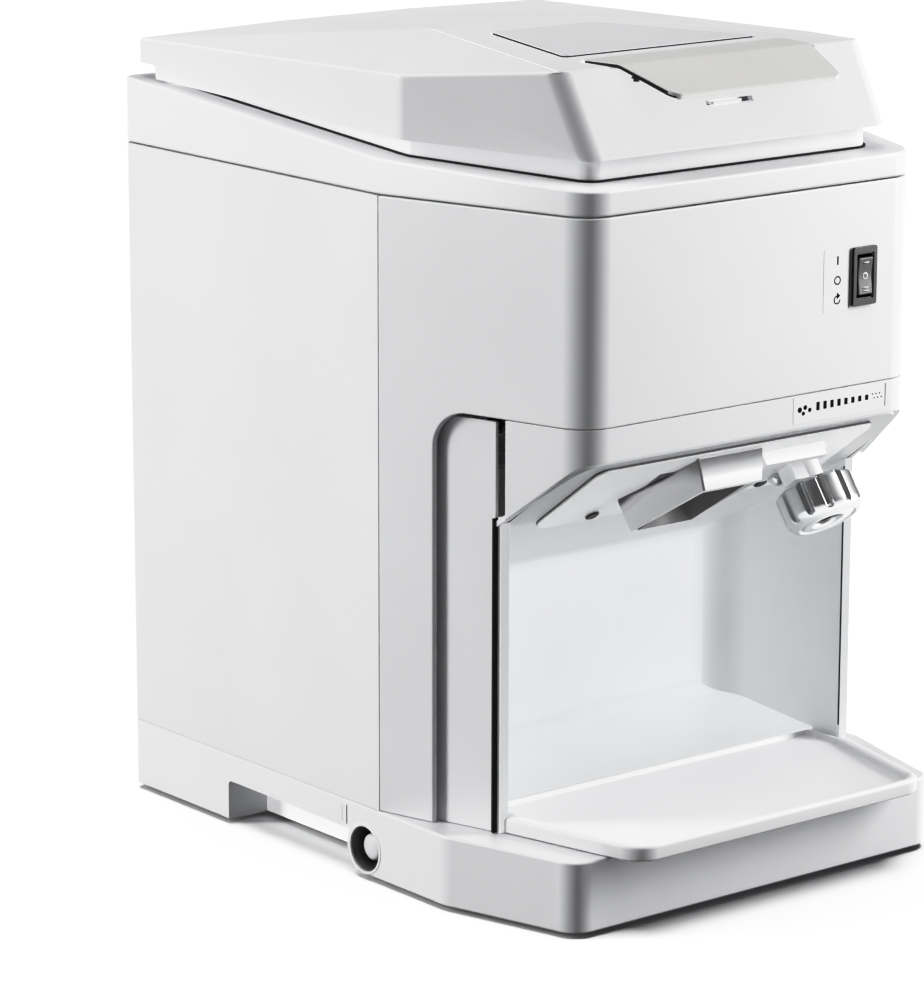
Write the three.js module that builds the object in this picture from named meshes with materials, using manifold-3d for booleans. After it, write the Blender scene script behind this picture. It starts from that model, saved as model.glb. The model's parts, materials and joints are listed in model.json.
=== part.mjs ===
// Shaved ice machine: a countertop cube-ice shaver with a hinged lid, a slanted blade head,
// a cup bay and a drip tray. Millimetres, +Z up, the front looks along -Y, X to the right
// as seen from the front. The origin is the middle of the footprint, at the feet.
import * as THREE from 'three';
import { mergeVertices } from 'three/addons/utils/BufferGeometryUtils.js';
import { ConvexGeometry } from 'three/addons/geometries/ConvexGeometry.js';
import Module from 'manifold-3d';

const wasm = await Module();
wasm.setup();

// ---------------------------------------------------------------- driving dimensions
const WIDTH = 300;
const DEPTH = 415;
const HEIGHT = 445;
const HOOD_DEPTH = 27; // rear vent hood, behind the back panel
const GAP = 0.3; // clearance between touching pieces
const WALL = 3; // moulded shell thickness

// Distances F run forward from the outer face of the back panel; heights are from the table.
const BACK_Y = DEPTH / 2 - HOOD_DEPTH;
const TRAY_REACH = DEPTH - HOOD_DEPTH; // F of the drip tray's front lip
const HALF = WIDTH / 2;
const TAPER_START = 231; // F where the sides begin to close in
const TAPER = 0.2882; // sideways step per step forward
const FRONT_F = 356.6; // F of the cowl's front face
const FRONT_RADIUS = 20;
const REAR_RADIUS = 6;

const FOOT = 3; // how far the feet stand out
const BASE_TOP = 41.6;
const COWL_BOTTOM = 265.8;
const COLLAR_SEAM = 374.4;
const RIM_BACK = 411.4; // rim heights at the back, at the taper and at the front
const RIM_MID = 394;
const RIM_FRONT = 387.7;

const BAY_HALF = 119.5;
const BAY_BACK = 202; // F of the cup bay's back wall
const FLANGE_F = 302.3; // F of the bay flanges' front faces
const HEAD_F = 318; // F and height of the blade head's centre on the slanted face
const FACE_F = 355; // F and height of the slanted face's front edge
const FACE_Z = 247.4;
const FACE_SLOPE = 0.72;
const FACE_TILT = Math.atan(FACE_SLOPE);

// Lid outline: side half-width, rear F, knee F, front corner and heights
const LID_HALF = 143;
const LID_REAR = 5.4;
const LID_KNEE = 240;
const LID_CORNER = [103, 346];
const LID_TOP = HEIGHT - 1;
const LID_SIDE_TOP = { rear: 432, knee: 437 }; // heights of the side faces' upper edge
const LID_NOSE = [104.5, 322]; // front corner of the flat top
const LID_CREST = [49, 145.5]; // where the flat top meets the rear ridge
const LID_RIDGE = [46, 434]; // half-width and height of the ridge at the rear edge
const LID_FOOT = { rear: 411, knee: 403.6, front: 401 }; // heights of the lower edge
const HINGE_F = -5.5;
const HINGE_Z = 424.5;
const HINGE_X = 83;

// Drive: belt pulleys on parallel shafts
const PULLEY_OFFSET = 130;
const DRIVEN_RADIUS = 45;
const MOTOR_RADIUS = 18;
const MOTOR = { base: 106, radius: 42, length: 104 }; // along the shaft, from the slanted face

// ---------------------------------------------------------------- materials
const paint = (color, roughness, metalness = 0) =>
  new THREE.MeshStandardMaterial({ color, roughness, metalness });
const MATERIAL = {
  shell: paint(0xe9eaec, 0.38),
  panel: paint(0xe4e5e7, 0.4),
  liner: paint(0xdddfe1, 0.42),
  lid: paint(0xebecee, 0.35),
  handle: paint(0xdedad8, 0.45),
  inlay: paint(0xcfd1d3, 0.5),
  black: paint(0x17181a, 0.4),
  label: paint(0xf6f6f6, 0.6),
  rubber: paint(0x2a2b2d, 0.85),
  plated: paint(0xc9ccd0, 0.18, 1),
  steel: paint(0xb9bdc2, 0.3, 1),
  bin: paint(0xd4d8dc, 0.3),
  cast: paint(0x8f949a, 0.5, 0.8),
};

// ---------------------------------------------------------------- geometry helpers
const root = new THREE.Group();

/** A closed manifold solid from any closed three.js geometry. */
function solid(geometry) {
  const bare = geometry.clone();
  for (const name of Object.keys(bare.attributes)) {
    if (name !== 'position') bare.deleteAttribute(name);
  }
  const merged = mergeVertices(bare, 1e-4);
  const vertProperties = new Float32Array(merged.attributes.position.array);
  const triVerts = new Uint32Array(merged.index.array);
  return new wasm.Manifold(new wasm.Mesh({ numProp: 3, vertProperties, triVerts }));
}

/** Adds one named mesh made of a manifold solid to a group. */
function piece(name, body, material, parent = root) {
  const { vertProperties, triVerts } = body.getMesh();
  const geometry = new THREE.BufferGeometry();
  geometry.setAttribute('position', new THREE.BufferAttribute(new Float32Array(vertProperties), 3));
  geometry.setIndex(new THREE.BufferAttribute(new Uint32Array(triVerts), 1));
  geometry.computeVertexNormals();
  const mesh = new THREE.Mesh(geometry, MATERIAL[material]);
  mesh.name = name;
  parent.add(mesh);
}

const yAt = (f) => BACK_Y - f;
const join = (...parts) => parts.reduce((a, b) => a.add(b));
const cut = (body, ...tools) => tools.reduce((a, b) => a.subtract(b), body);
/** The x range from a to b on the left (sign -1) or the right (sign 1), in rising order. */
const span = (sign, a, b) => [sign * a, sign * b].sort((p, q) => p - q);
const mirrored = (points) => [...points, ...points.map(([x, ...rest]) => [-x, ...rest]).reverse()];

function extruded(points, length) {
  const shape = new THREE.Shape(points.map(([u, v]) => new THREE.Vector2(u, v)));
  return new THREE.ExtrudeGeometry(shape, { depth: length, bevelEnabled: false });
}

/** Plan outline of (x, F) points, raised from one height to another. */
function upright(points, low, high) {
  const plan = points.map(([x, f]) => [x, yAt(f)]);
  return solid(extruded(plan, high - low).translate(0, 0, low));
}

/** Side outline of (F, z) points, spread across x. */
function across(points, left, right) {
  const frame = new THREE.Matrix4().set(0, 0, -1, right, -1, 0, 0, BACK_Y, 0, 1, 0, 0, 0, 0, 0, 1);
  return solid(extruded(points, right - left).applyMatrix4(frame));
}

/** Box between two x, two F and two z values. */
function box([x0, x1], [f0, f1], [z0, z1]) {
  return upright([[x0, f0], [x1, f0], [x1, f1], [x0, f1]], z0, z1);
}

/** Plain box in a group's own axes. */
function block([x0, x1], [y0, y1], [z0, z1]) {
  const geometry = new THREE.BoxGeometry(x1 - x0, y1 - y0, z1 - z0);
  return solid(geometry.translate((x0 + x1) / 2, (y0 + y1) / 2, (z0 + z1) / 2));
}

/** Rod along z at (x, y) in a group's own axes. */
function rod(radius, [z0, z1], x = 0, y = 0, sides = 32, topRadius = radius) {
  const geometry = new THREE.CylinderGeometry(topRadius, radius, z1 - z0, sides);
  return solid(geometry.rotateX(Math.PI / 2).translate(x, y, (z0 + z1) / 2));
}

/** Rod along x through (F, z). */
function crossRod(radius, [x0, x1], f, z, sides = 32) {
  const geometry = new THREE.CylinderGeometry(radius, radius, x1 - x0, sides);
  return solid(geometry.rotateZ(Math.PI / 2).translate((x0 + x1) / 2, yAt(f), z));
}

/** Solid of revolution about z from a closed (radius, z) profile that touches the axis. */
function turned(profile, sides = 36) {
  const geometry = new THREE.LatheGeometry(profile.map(([r, z]) => new THREE.Vector2(r, z)), sides);
  return solid(geometry.rotateX(Math.PI / 2));
}

const hull = (points) => {
  const corners = points.map(([x, f, z]) => new THREE.Vector3(x, yAt(f), z));
  return solid(new ConvexGeometry(corners));
};

/** Replaces the corners of an outline by arcs; each point is [u, v, radius]. */
function rounded(corners, steps = 5) {
  const outline = [];
  corners.forEach(([u, v, radius = 0], i) => {
    const here = new THREE.Vector2(u, v);
    if (!radius) {
      outline.push([u, v]);
      return;
    }
    const before = corners[(i + corners.length - 1) % corners.length];
    const after = corners[(i + 1) % corners.length];
    const a = new THREE.Vector2(before[0], before[1]).sub(here).normalize();
    const b = new THREE.Vector2(after[0], after[1]).sub(here).normalize();
    const half = a.angleTo(b) / 2;
    const middle = a.clone().add(b).normalize().multiplyScalar(radius / Math.sin(half)).add(here);
    const start = a.multiplyScalar(radius / Math.tan(half)).add(here).sub(middle);
    const end = b.multiplyScalar(radius / Math.tan(half)).add(here).sub(middle);
    let turn = end.angle() - start.angle();
    if (turn > Math.PI) turn -= 2 * Math.PI;
    if (turn < -Math.PI) turn += 2 * Math.PI;
    for (let k = 0; k <= steps; k += 1) {
      const p = start.clone().rotateAround(new THREE.Vector2(), (turn * k) / steps).add(middle);
      outline.push([p.x, p.y]);
    }
  });
  return outline;
}

const slant = Math.hypot(1, TAPER);
/** Half-width of the tapered body at F, moved in by an inset. */
const taperHalf = (f, inset = 0) => HALF - (f - TAPER_START) * TAPER - inset * slant;

/** Plan outline of the body, moved in by an inset. */
function bodyOutline(inset = 0) {
  const knee = TAPER_START - (inset * (slant - 1)) / TAPER;
  const front = FRONT_F - inset;
  return rounded(mirrored([
    [HALF - inset, inset, Math.max(REAR_RADIUS - inset, 1)],
    [HALF - inset, knee],
    [taperHalf(front, inset), front, FRONT_RADIUS - inset],
  ]));
}

const faceZ = (f) => FACE_Z - (FACE_F - f) * FACE_SLOPE;

// ---------------------------------------------------------------- base
const BASE_OUTLINE = [[HALF, 287], [143, 310.4], [131, 353], [128.2, 367.4]];
const BASE_FRONT_RADIUS = 14;
const CARRY = { near: 93.3, far: 202.8, top: 26, depth: 27 };
const DRAIN = { f: 218.2, z: 17.4, radius: 12.5, depth: 13, bore: 6 };
const FEET = { front_left: [-98, 330], front_right: [98, 330], rear_left: [-112, 40], rear_right: [112, 40] };

function baseOutline(inset) {
  const [knee, shoulder, cheek, nose] = BASE_OUTLINE;
  return rounded(mirrored([
    [HALF - inset, inset, Math.max(REAR_RADIUS - inset, 1)],
    [knee[0] - inset, knee[1]],
    [shoulder[0] - inset, shoulder[1]],
    [cheek[0] - inset, cheek[1] - inset / 2],
    [nose[0] - inset, nose[1] - inset, BASE_FRONT_RADIUS - inset],
  ]));
}

function makeBase() {
  const deck = BASE_TOP - WALL;
  let pan = upright(baseOutline(0), FOOT, BASE_TOP).subtract(upright(baseOutline(WALL), FOOT - 1, deck));
  for (const sign of [-1, 1]) {
    const xs = (a, b) => span(sign, a, b);
    const outer = HALF - WALL / 2;
    pan = join(
      pan,
      box(xs(HALF - CARRY.depth - WALL, outer), [CARRY.near - WALL, CARRY.far + WALL], [FOOT, deck + 1]),
      box(xs(HALF - DRAIN.depth - WALL, outer), [CARRY.far, DRAIN.f + DRAIN.radius + WALL], [FOOT, deck + 1]),
    );
    pan = cut(
      pan,
      box(xs(HALF - CARRY.depth, HALF + 1), [CARRY.near, CARRY.far], [FOOT - 1, CARRY.top]),
      crossRod(DRAIN.radius, xs(HALF - DRAIN.depth, HALF + 1), DRAIN.f, DRAIN.z),
      crossRod(DRAIN.bore, xs(HALF - DRAIN.depth - WALL - 1, HALF), DRAIN.f, DRAIN.z),
    );
  }
  for (const [x, f] of Object.values(FEET)) {
    const post = rod(12, [FOOT, deck + 1], x, yAt(f), 24);
    pan = pan.add(post).subtract(rod(3 + GAP, [FOOT - 1, 16], x, yAt(f), 16));
  }
  piece('base_pan', pan, 'shell');

  for (const [place, [x, f]] of Object.entries(FEET)) {
    const disc = rod(10, [0, FOOT - GAP], x, yAt(f), 28, 11);
    piece(`rubber_foot_${place}`, disc.add(rod(3, [FOOT - 1, 14], x, yAt(f), 16)), 'rubber');
  }
}

/** Drain spouts with push-on plugs, sunk into the sides of the base. */
function makeDrains() {
  for (const [side, sign] of [['left', -1], ['right', 1]]) {
    const xs = (a, b) => span(sign, a, b);
    const inner = HALF - DRAIN.depth;
    const spout = crossRod(DRAIN.bore - GAP, xs(inner - 9, inner + 5), DRAIN.f, DRAIN.z, 28);
    const bore = crossRod(3.6, xs(inner - 10, inner + 6), DRAIN.f, DRAIN.z, 20);
    piece(`drain_spout_${side}`, spout.subtract(bore), 'liner');
    const face = HALF - 4;
    const cap = crossRod(7.6, xs(inner + 5 + GAP, face), DRAIN.f, DRAIN.z, 28);
    const stem = crossRod(3.2, xs(inner - 2, face - 1), DRAIN.f, DRAIN.z, 20);
    piece(`drain_plug_${side}`, cap.add(stem), 'panel');
  }
}

// ---------------------------------------------------------------- body shell
const PANEL_FOOT = BASE_TOP + GAP;
const PANEL_HEAD = COLLAR_SEAM - GAP;
const REAR_WRAP = 12; // how far the side panels turn round the rear corners
const LEG_F = 264.8; // front edge of the cowl's legs
const NOTCH_RADIUS = 20;
const SWITCH = { x: 77, z: 324.6, width: 17, height: 31.4 };

function makePanels() {
  const shell = upright(bodyOutline(0), PANEL_FOOT, PANEL_HEAD)
    .subtract(upright(bodyOutline(WALL), PANEL_FOOT - 1, PANEL_HEAD + 1));
  const seam = TAPER_START - GAP / 2;
  for (const [side, sign] of [['left', -1], ['right', 1]]) {
    const xs = (a, b) => span(sign, a, b);
    const keep = box(xs(HALF - REAR_WRAP, HALF + 1), [-1, seam], [0, HEIGHT]);
    piece(`${side}_side_panel`, shell.intersect(keep), 'panel');
  }
  const backHalf = HALF - REAR_WRAP - GAP;
  const back = shell.intersect(box([-backHalf, backHalf], [-1, WALL + 1], [0, HEIGHT]));
  const airHole = box([-HOOD.half + 16, HOOD.half - 16], [-1, WALL + 1], [HOOD.low + 26, HOOD.high - 26]);
  const inletHole = box([INLET.x - 15, INLET.x + 15], [-1, WALL + 1], [INLET.z - 11, INLET.z + 11]);
  piece('back_panel', cut(back, airHole, inletHole), 'panel');

  const ahead = box([-HALF - 1, HALF + 1], [seam + GAP, FRONT_F + 1], [0, HEIGHT]);
  const notch = across(rounded([
    [LEG_F, 0], [FRONT_F + 10, 0], [FRONT_F + 10, COWL_BOTTOM], [LEG_F, COWL_BOTTOM, NOTCH_RADIUS],
  ]), -HALF - 1, HALF + 1);
  const switchHole = box(
    [SWITCH.x - 7, SWITCH.x + 7],
    [FRONT_F - WALL - 1, FRONT_F + 1],
    [SWITCH.z - 13, SWITCH.z + 13],
  );
  piece('front_cowl', cut(shell.intersect(ahead), notch, switchHole), 'shell');
}

const FASCIA = { rear: 308.5, low: 213, chin: 350, chinZ: 245.8, frontZ: 248.3 };

/** Nose below the cowl: two cheeks and a front strip, in one bent shell. */
function makeFascia() {
  const top = COWL_BOTTOM - GAP;
  const shell = upright(bodyOutline(0), FASCIA.low, top)
    .subtract(upright(bodyOutline(WALL), FASCIA.low - 1, top + 1));
  const cheek = across([
    [FASCIA.rear, top], [FASCIA.rear, FASCIA.low], [FASCIA.chin, FASCIA.chinZ],
    [FRONT_F + 1, FASCIA.frontZ], [FRONT_F + 1, top],
  ], -HALF, HALF);
  piece('nose_fascia', shell.intersect(cheek), 'shell');
}

const RECESS = { inset: 5.4, sheet: 1.8, rear: 248, front: 298.5, head: COWL_BOTTOM - 3 };

/** Plates set back behind the cowl's legs, beside the cup bay. */
function makeRecessPlates() {
  const { inset, sheet, rear, front, head: top } = RECESS;
  const plate = upright(bodyOutline(inset), PANEL_FOOT, top)
    .subtract(upright(bodyOutline(inset + sheet), PANEL_FOOT - 1, COWL_BOTTOM));
  for (const [side, sign] of [['left', -1], ['right', 1]]) {
    const keep = box(span(sign, 60, HALF + 1), [rear, front], [0, HEIGHT]);
    piece(`${side}_recess_plate`, plate.intersect(keep), 'liner');
  }
}

// ---------------------------------------------------------------- cup bay
const BAY_FLOOR_BACK = 57.4;
const BAY_FLOOR_FRONT = 51;
const BAY_FRONT = 280.7; // F where the bay floor meets the tray
const LINER = 2.5;
const FLANGE_HALF = 128; // outer edge of the flanges beside the bay
const CEILING_KNEE = [297, faceZ(297)];
const CEILING_REAR = [BAY_BACK, 155];

function makeBayLiner() {
  const roof = FACE_F - 1;
  const inside = rounded([
    [BAY_FRONT, BAY_FLOOR_FRONT], [BAY_BACK, BAY_FLOOR_BACK, 10], [...CEILING_REAR, 12],
    [...CEILING_KNEE, 30], [roof, faceZ(roof)], [roof + 40, faceZ(roof)], [roof + 40, BASE_TOP],
    [BAY_FRONT, BASE_TOP],
  ]);
  const outside = rounded([
    [BAY_FRONT, BAY_FLOOR_FRONT - LINER], [BAY_BACK - LINER, BAY_FLOOR_BACK - LINER, 12],
    [BAY_BACK - LINER, CEILING_REAR[1] + LINER, 14],
    [CEILING_KNEE[0], CEILING_KNEE[1] + LINER * 1.25, 30], [roof, faceZ(roof) + LINER * 1.25],
    [roof, faceZ(roof) - 0.01], [FLANGE_F - LINER, faceZ(FLANGE_F - LINER) - 0.01],
    [FLANGE_F - LINER, BAY_FLOOR_FRONT - 1], [BAY_FRONT, BAY_FLOOR_FRONT - 1],
  ]);
  const walls = across(outside, -BAY_HALF - LINER, BAY_HALF + LINER)
    .subtract(across(inside, -BAY_HALF, BAY_HALF));
  const wide = 300; // F from which the slanted face fills the whole nose
  const ceiling = across([
    [wide, faceZ(wide)], [roof, faceZ(roof)], [roof, faceZ(roof) + LINER * 1.25],
    [wide, faceZ(wide) + LINER * 1.25],
  ], -HALF, HALF);
  const inBody = upright(bodyOutline(WALL + GAP + 0.2), 0, HEIGHT);
  let liner = walls.add(ceiling).intersect(inBody);
  const flangeTop = FASCIA.low - GAP;
  for (const sign of [-1, 1]) {
    const flange = span(sign, BAY_HALF + 0.01, FLANGE_HALF);
    liner = liner.add(box(flange, [FLANGE_F - LINER, FLANGE_F], [PANEL_FOOT, flangeTop]));
    const wall = span(sign, BAY_HALF, BAY_HALF + LINER);
    liner = liner.add(box(wall, [BAY_BACK, FLANGE_F - LINER / 2], [PANEL_FOOT, BAY_FLOOR_BACK]));
  }
  const head = block([-46, 12], [-20, 12], [-6, 12]).transform(headMatrix());
  const spindle = rod(5, [-6, 12], KNOB.x, KNOB.y, 24).transform(headMatrix());
  piece('bay_liner', cut(liner, head, spindle), 'liner');
}

const TRAY = { shoulder: 122.6, nose: 102, radius: 12, top: 50.7, wall: 4, floor: 3 };

function makeTray() {
  const low = BASE_TOP + GAP + 0.1;
  const outline = (inset) => rounded(mirrored([
    [BAY_HALF - 1 - inset, BAY_FRONT + GAP + inset],
    [BAY_HALF - 1 - inset, FLANGE_F + GAP + inset],
    [TRAY.shoulder - inset, FLANGE_F + GAP + inset],
    [TRAY.nose - inset, TRAY_REACH - inset, TRAY.radius - inset],
  ]));
  const well = upright(outline(TRAY.wall), low + TRAY.floor, TRAY.top + 1);
  const tray = upright(outline(0), low, TRAY.top).subtract(well);
  piece('drip_tray', tray, 'lid');
}

// ---------------------------------------------------------------- blade head (slanted axes)
// In the head's own axes z points into the machine, square to the slanted face, and y runs
// down the slope towards the back.
const KNOB = { x: 70, y: -0.5, radius: 22, root: -17.8, face: -39.8 };
const DRUM = { radius: 46, low: 9.5, high: 74 };
const DISC = [10, 14];
const COVER = 1.6; // thickness of the cover plate
const COVER_FACE = COVER + GAP;
const COVER_SCREW = { x: 60, y: 26 };
const BLADE = { left: -37, right: 3, width: 10, thick: 1.4, tilt: -24, z: 11.3 };
const ROTOR_LOW = 16; // where the rotor starts, just behind the blade disc
const head = new THREE.Group();
head.position.set(0, yAt(HEAD_F), faceZ(HEAD_F));
head.rotation.x = -FACE_TILT;
root.add(head);

function headMatrix() {
  head.updateMatrix();
  return head.matrix.elements;
}

function makeBladeHead() {
  const cover = solid(extruded(rounded([[-97, -36, 6], [97, -36, 6], [97, 34, 12], [-97, 34, 12]]), COVER));
  piece('blade_cover_plate', cut(
    cover.translate([0, 0, -COVER - GAP]),
    block([-44, 10], [-18, 10], [-5, 5]),
    rod(5, [-5, 5], KNOB.x, KNOB.y, 24),
    rod(2.3, [-5, 5], -COVER_SCREW.x, COVER_SCREW.y, 16),
    rod(2.3, [-5, 5], COVER_SCREW.x, COVER_SCREW.y, 16),
  ), 'liner', head);
  for (const [side, sign] of [['left', -1], ['right', 1]]) {
    const x = sign * COVER_SCREW.x;
    const shank = rod(1.9, [-COVER_FACE - 1, -0.1], x, COVER_SCREW.y, 16);
    const cap = rod(4, [-COVER_FACE - 1.6, -COVER_FACE - GAP], x, COVER_SCREW.y, 20);
    piece(`cover_screw_${side}`, shank.add(cap), 'black', head);
  }

  const slot = block([-40, 6], [-8, 8], [0, 20]);
  const disc = rod(DRUM.radius - 2, DISC, 0, 0, 48);
  piece('blade_disc', disc.subtract(slot), 'steel', head);

  const inlet = block([-36, 36], [-60, -24], [22, DRUM.high - 4]);
  const casing = rod(DRUM.radius + 3, [DRUM.low, DRUM.high], 0, 0, 48);
  const chamber = rod(DRUM.radius - 2 + GAP, [0, DRUM.high - 4], 0, 0, 48);
  const bearingSeat = rod(11 + GAP, [60, 90], 0, 0, 28);
  piece('drum_casing', cut(casing, chamber, inlet, bearingSeat), 'cast', head);

  // The blade stands on a carrier that the adjuster's screw lifts and lowers.
  const arm = block([-42, KNOB.x], [1, 9], [4.2, 8.2]);
  const nut = rod(8, [4.2, 14], KNOB.x, KNOB.y, 6);
  const thread = rod(3.5 + GAP, [0, 13], KNOB.x, KNOB.y, 24);
  piece('blade_carrier', arm.add(nut).subtract(thread), 'cast', head);
  const { left, right, width, thick, tilt, z } = BLADE;
  const blade = block([left, right], [-width / 2, width / 2], [-thick / 2, thick / 2])
    .rotate([tilt, 0, 0]).translate([0, 1, z]);
  piece('shaving_blade', blade, 'steel', head);
}

function makeDrive() {
  const seatZ = [DRUM.high - 4, DRUM.high + 6];
  const bearing = rod(11, seatZ, 0, 0, 28).subtract(rod(6 + GAP, [60, 90], 0, 0, 24));
  piece('shaft_bearing', bearing, 'steel', head);
  piece('rotor_shaft', rod(6, [ROTOR_LOW, 104], 0, 0, 24), 'steel', head);

  let paddles = rod(14, [ROTOR_LOW, 66], 0, 0, 28);
  for (let k = 0; k < 3; k += 1) {
    const vane = block([0, DRUM.radius - 5], [-2, 2], [ROTOR_LOW, 60]).rotate([0, 0, 120 * k]);
    paddles = paddles.add(vane);
  }
  piece('rotor_paddles', paddles.subtract(rod(6 + GAP, [0, 90], 0, 0, 24)), 'cast', head);

  const grooved = (radius) => turned([
    [0, 84], [radius + 3, 84], [radius + 3, 86], [radius, 87.5], [radius, 94.5],
    [radius + 3, 96], [radius + 3, 98], [0, 98],
  ]);
  piece('driven_pulley', grooved(DRIVEN_RADIUS).subtract(rod(6 + GAP, [70, 110], 0, 0, 24)), 'cast', head);

  const motorBase = MOTOR.base;
  const motorEnd = motorBase + MOTOR.length;
  const spindle = rod(5, [80, motorBase + 6], 0, 0, 20);
  piece('motor_pulley', grooved(MOTOR_RADIUS).add(spindle).translate([0, PULLEY_OFFSET, 0]), 'steel', head);
  const can = rod(MOTOR.radius, [motorBase + 4 + GAP, motorEnd], 0, PULLEY_OFFSET, 40);
  const bell = rod(36, [motorEnd - 4, motorEnd + 8], 0, PULLEY_OFFSET, 40, 30);
  const seat = rod(5 + GAP, [100, motorBase + 9], 0, PULLEY_OFFSET, 20);
  piece('drive_motor', can.add(bell).subtract(seat), 'cast', head);
  const bracket = block([-52, 52], [PULLEY_OFFSET - 46, PULLEY_OFFSET + 46], [motorBase, motorBase + 4]);
  const tabs = block([-52, 52], [PULLEY_OFFSET + 42, PULLEY_OFFSET + 46], [motorBase - 22, motorBase + 4]);
  piece('motor_bracket', cut(bracket.add(tabs), rod(9, [90, 120], 0, PULLEY_OFFSET, 24)), 'steel', head);

  const sweep = Math.acos((DRIVEN_RADIUS - MOTOR_RADIUS) / PULLEY_OFFSET);
  const loop = (extra) => {
    const points = [];
    for (let k = 0; k <= 20; k += 1) {
      const a = Math.PI / 2 + sweep + ((2 * Math.PI - 2 * sweep) * k) / 20;
      const r = DRIVEN_RADIUS + extra;
      points.push([r * Math.cos(a), r * Math.sin(a)]);
    }
    for (let k = 0; k <= 10; k += 1) {
      const a = Math.PI / 2 - sweep + (2 * sweep * k) / 10;
      const r = MOTOR_RADIUS + extra;
      points.push([r * Math.cos(a), PULLEY_OFFSET + r * Math.sin(a)]);
    }
    return solid(extruded(points, 6).translate(0, 0, 88));
  };
  piece('drive_belt', loop(2.6).subtract(loop(0.5)), 'rubber', head);
}

// Adjuster bracket on the slanted face: its outline, its upstand and where its nut sits
const BRACKET = {
  outline: [[22, -25], [66, -25], [80, -12, 4], [80, 12, 8], [54, 18, 6], [22, 12, 4]],
  face: -4.6,
  bar: { x: [22, 66], y: [-25, -20], front: -10 },
  nut: [59, 11.5],
};
const SLEEVE_RADIUS = 8;

function makeAdjuster() {
  const back = -COVER_FACE - GAP;
  const bar = block(BRACKET.bar.x, BRACKET.bar.y, [BRACKET.bar.front, back]);
  const sheet = extruded(rounded(BRACKET.outline), back - BRACKET.face);
  const plate = solid(sheet.translate(0, 0, BRACKET.face));
  const bore = rod(5, [-20, 5], KNOB.x, KNOB.y, 24);
  const nutHole = rod(2.5, [-20, 5], ...BRACKET.nut, 16);
  piece('adjuster_bracket', cut(bar.add(plate), bore, nutHole), 'shell', head);
  const seat = BRACKET.face - GAP;
  const dome = turned([[0, -10.4], [2.6, -9.6], [4.2, -7.6], [4.6, seat], [0, seat]], 24);
  const stud = rod(2, [-5.5, -2.6], 0, 0, 16);
  piece('bracket_dome_nut', dome.add(stud).translate([...BRACKET.nut, 0]), 'plated', head);
  const sleeve = rod(SLEEVE_RADIUS, [KNOB.root + GAP, seat], KNOB.x, KNOB.y, 28);
  const web = block([KNOB.x - 15, KNOB.x - 4], [KNOB.y - 6, KNOB.y + 5], [KNOB.root + 3, seat]);
  const throat = rod(4.2, [-30, 0], KNOB.x, KNOB.y, 24);
  piece('adjuster_sleeve', sleeve.add(web).subtract(throat), 'shell', head);

  const knob = [];
  const ribs = 10;
  const steps = 6;
  for (let k = 0; k < ribs * steps; k += 1) {
    const a = (2 * Math.PI * k) / (ribs * steps);
    const r = k % steps === 0 ? KNOB.radius - 1.4 : KNOB.radius;
    knob.push([r * Math.cos(a), r * Math.sin(a)]);
  }
  const grip = solid(extruded(knob, 17).translate(0, 0, KNOB.face + 5));
  const nose = turned([
    [0, KNOB.face + 2], [11, KNOB.face + 2], [12, KNOB.face], [16.5, KNOB.face], [21, KNOB.face + 5.2],
    [0, KNOB.face + 5.2],
  ]);
  const knobBore = rod(3.5 + GAP, [KNOB.face + 8, 0], 0, 0, 24);
  piece('adjust_knob', grip.add(nose).subtract(knobBore).translate([KNOB.x, KNOB.y, 0]), 'plated', head);
  piece('adjust_screw', rod(3.5, [KNOB.face + 8 + GAP, 12], KNOB.x, KNOB.y, 24), 'steel', head);
}

// Corners of the skewed duct: at its mouth, at the slanted face, and the step to its inner corner.
const CHUTE = [
  { mouth: [-44.6, 312, 195], root: [-52.6, 308.6, 214], wall: [3.6, 2] },
  { mouth: [-23.6, 345, 220], root: [-28.6, 345, 240.2], wall: [1.1, -2] },
  { mouth: [17.9, 345, 220], root: [17.9, 345, 240.2], wall: [-3.6, -2] },
  { mouth: [-2.5, 312, 195], root: [-4.6, 308.6, 214], wall: [-1.1, 2] },
];
const CHUTE_GUSSET = [[-56.5, 313.4, 217.6], [-48.9, 310.2, 205.2]]; // outer corner and foot of the flare

/** Discharge chute: a skewed duct hanging from the slanted face, flared where its left wall meets it. */
function makeChute() {
  const along = ({ mouth, root: top }, t) => mouth.map((m, i) => m + (top[i] - m) * t);
  const inside = (corner, t) => {
    const [x, f, z] = along(corner, t);
    return [x + corner.wall[0], f + corner.wall[1], z];
  };
  const outer = hull(CHUTE.flatMap((corner) => [along(corner, 0), along(corner, 1.2)]));
  const inner = hull(CHUTE.flatMap((corner) => [inside(corner, -0.3), inside(corner, 1.6)]));
  const [rear, front] = CHUTE;
  const gusset = hull([
    ...CHUTE_GUSSET, rear.root, front.root, inside(rear, 1), inside(rear, 0.5), inside(front, 1),
  ]);
  const lift = (COVER_FACE + GAP + 0.1) / Math.cos(FACE_TILT);
  const below = across([
    [290, 150], [360, 150], [360, faceZ(360) - lift], [290, faceZ(290) - lift],
  ], -HALF, HALF);
  piece('discharge_chute', outer.add(gusset).subtract(inner).intersect(below), 'shell');
}

// ---------------------------------------------------------------- hopper
const rimProfile = (drop, far) => [
  [-1, RIM_BACK - drop], [TAPER_START, RIM_MID - drop], [FRONT_F + 1, RIM_FRONT - drop],
  [FRONT_F + 1, far], [-1, far],
];
const PIN = { x: 141.5, f: 200 };

function coamingOutline(inset) {
  return rounded(mirrored([
    [134 - inset, 31 + inset, 8], [134 - inset, LID_KNEE - 2], [96.5 - inset, 337 - inset, 11 - inset],
  ]));
}

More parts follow.
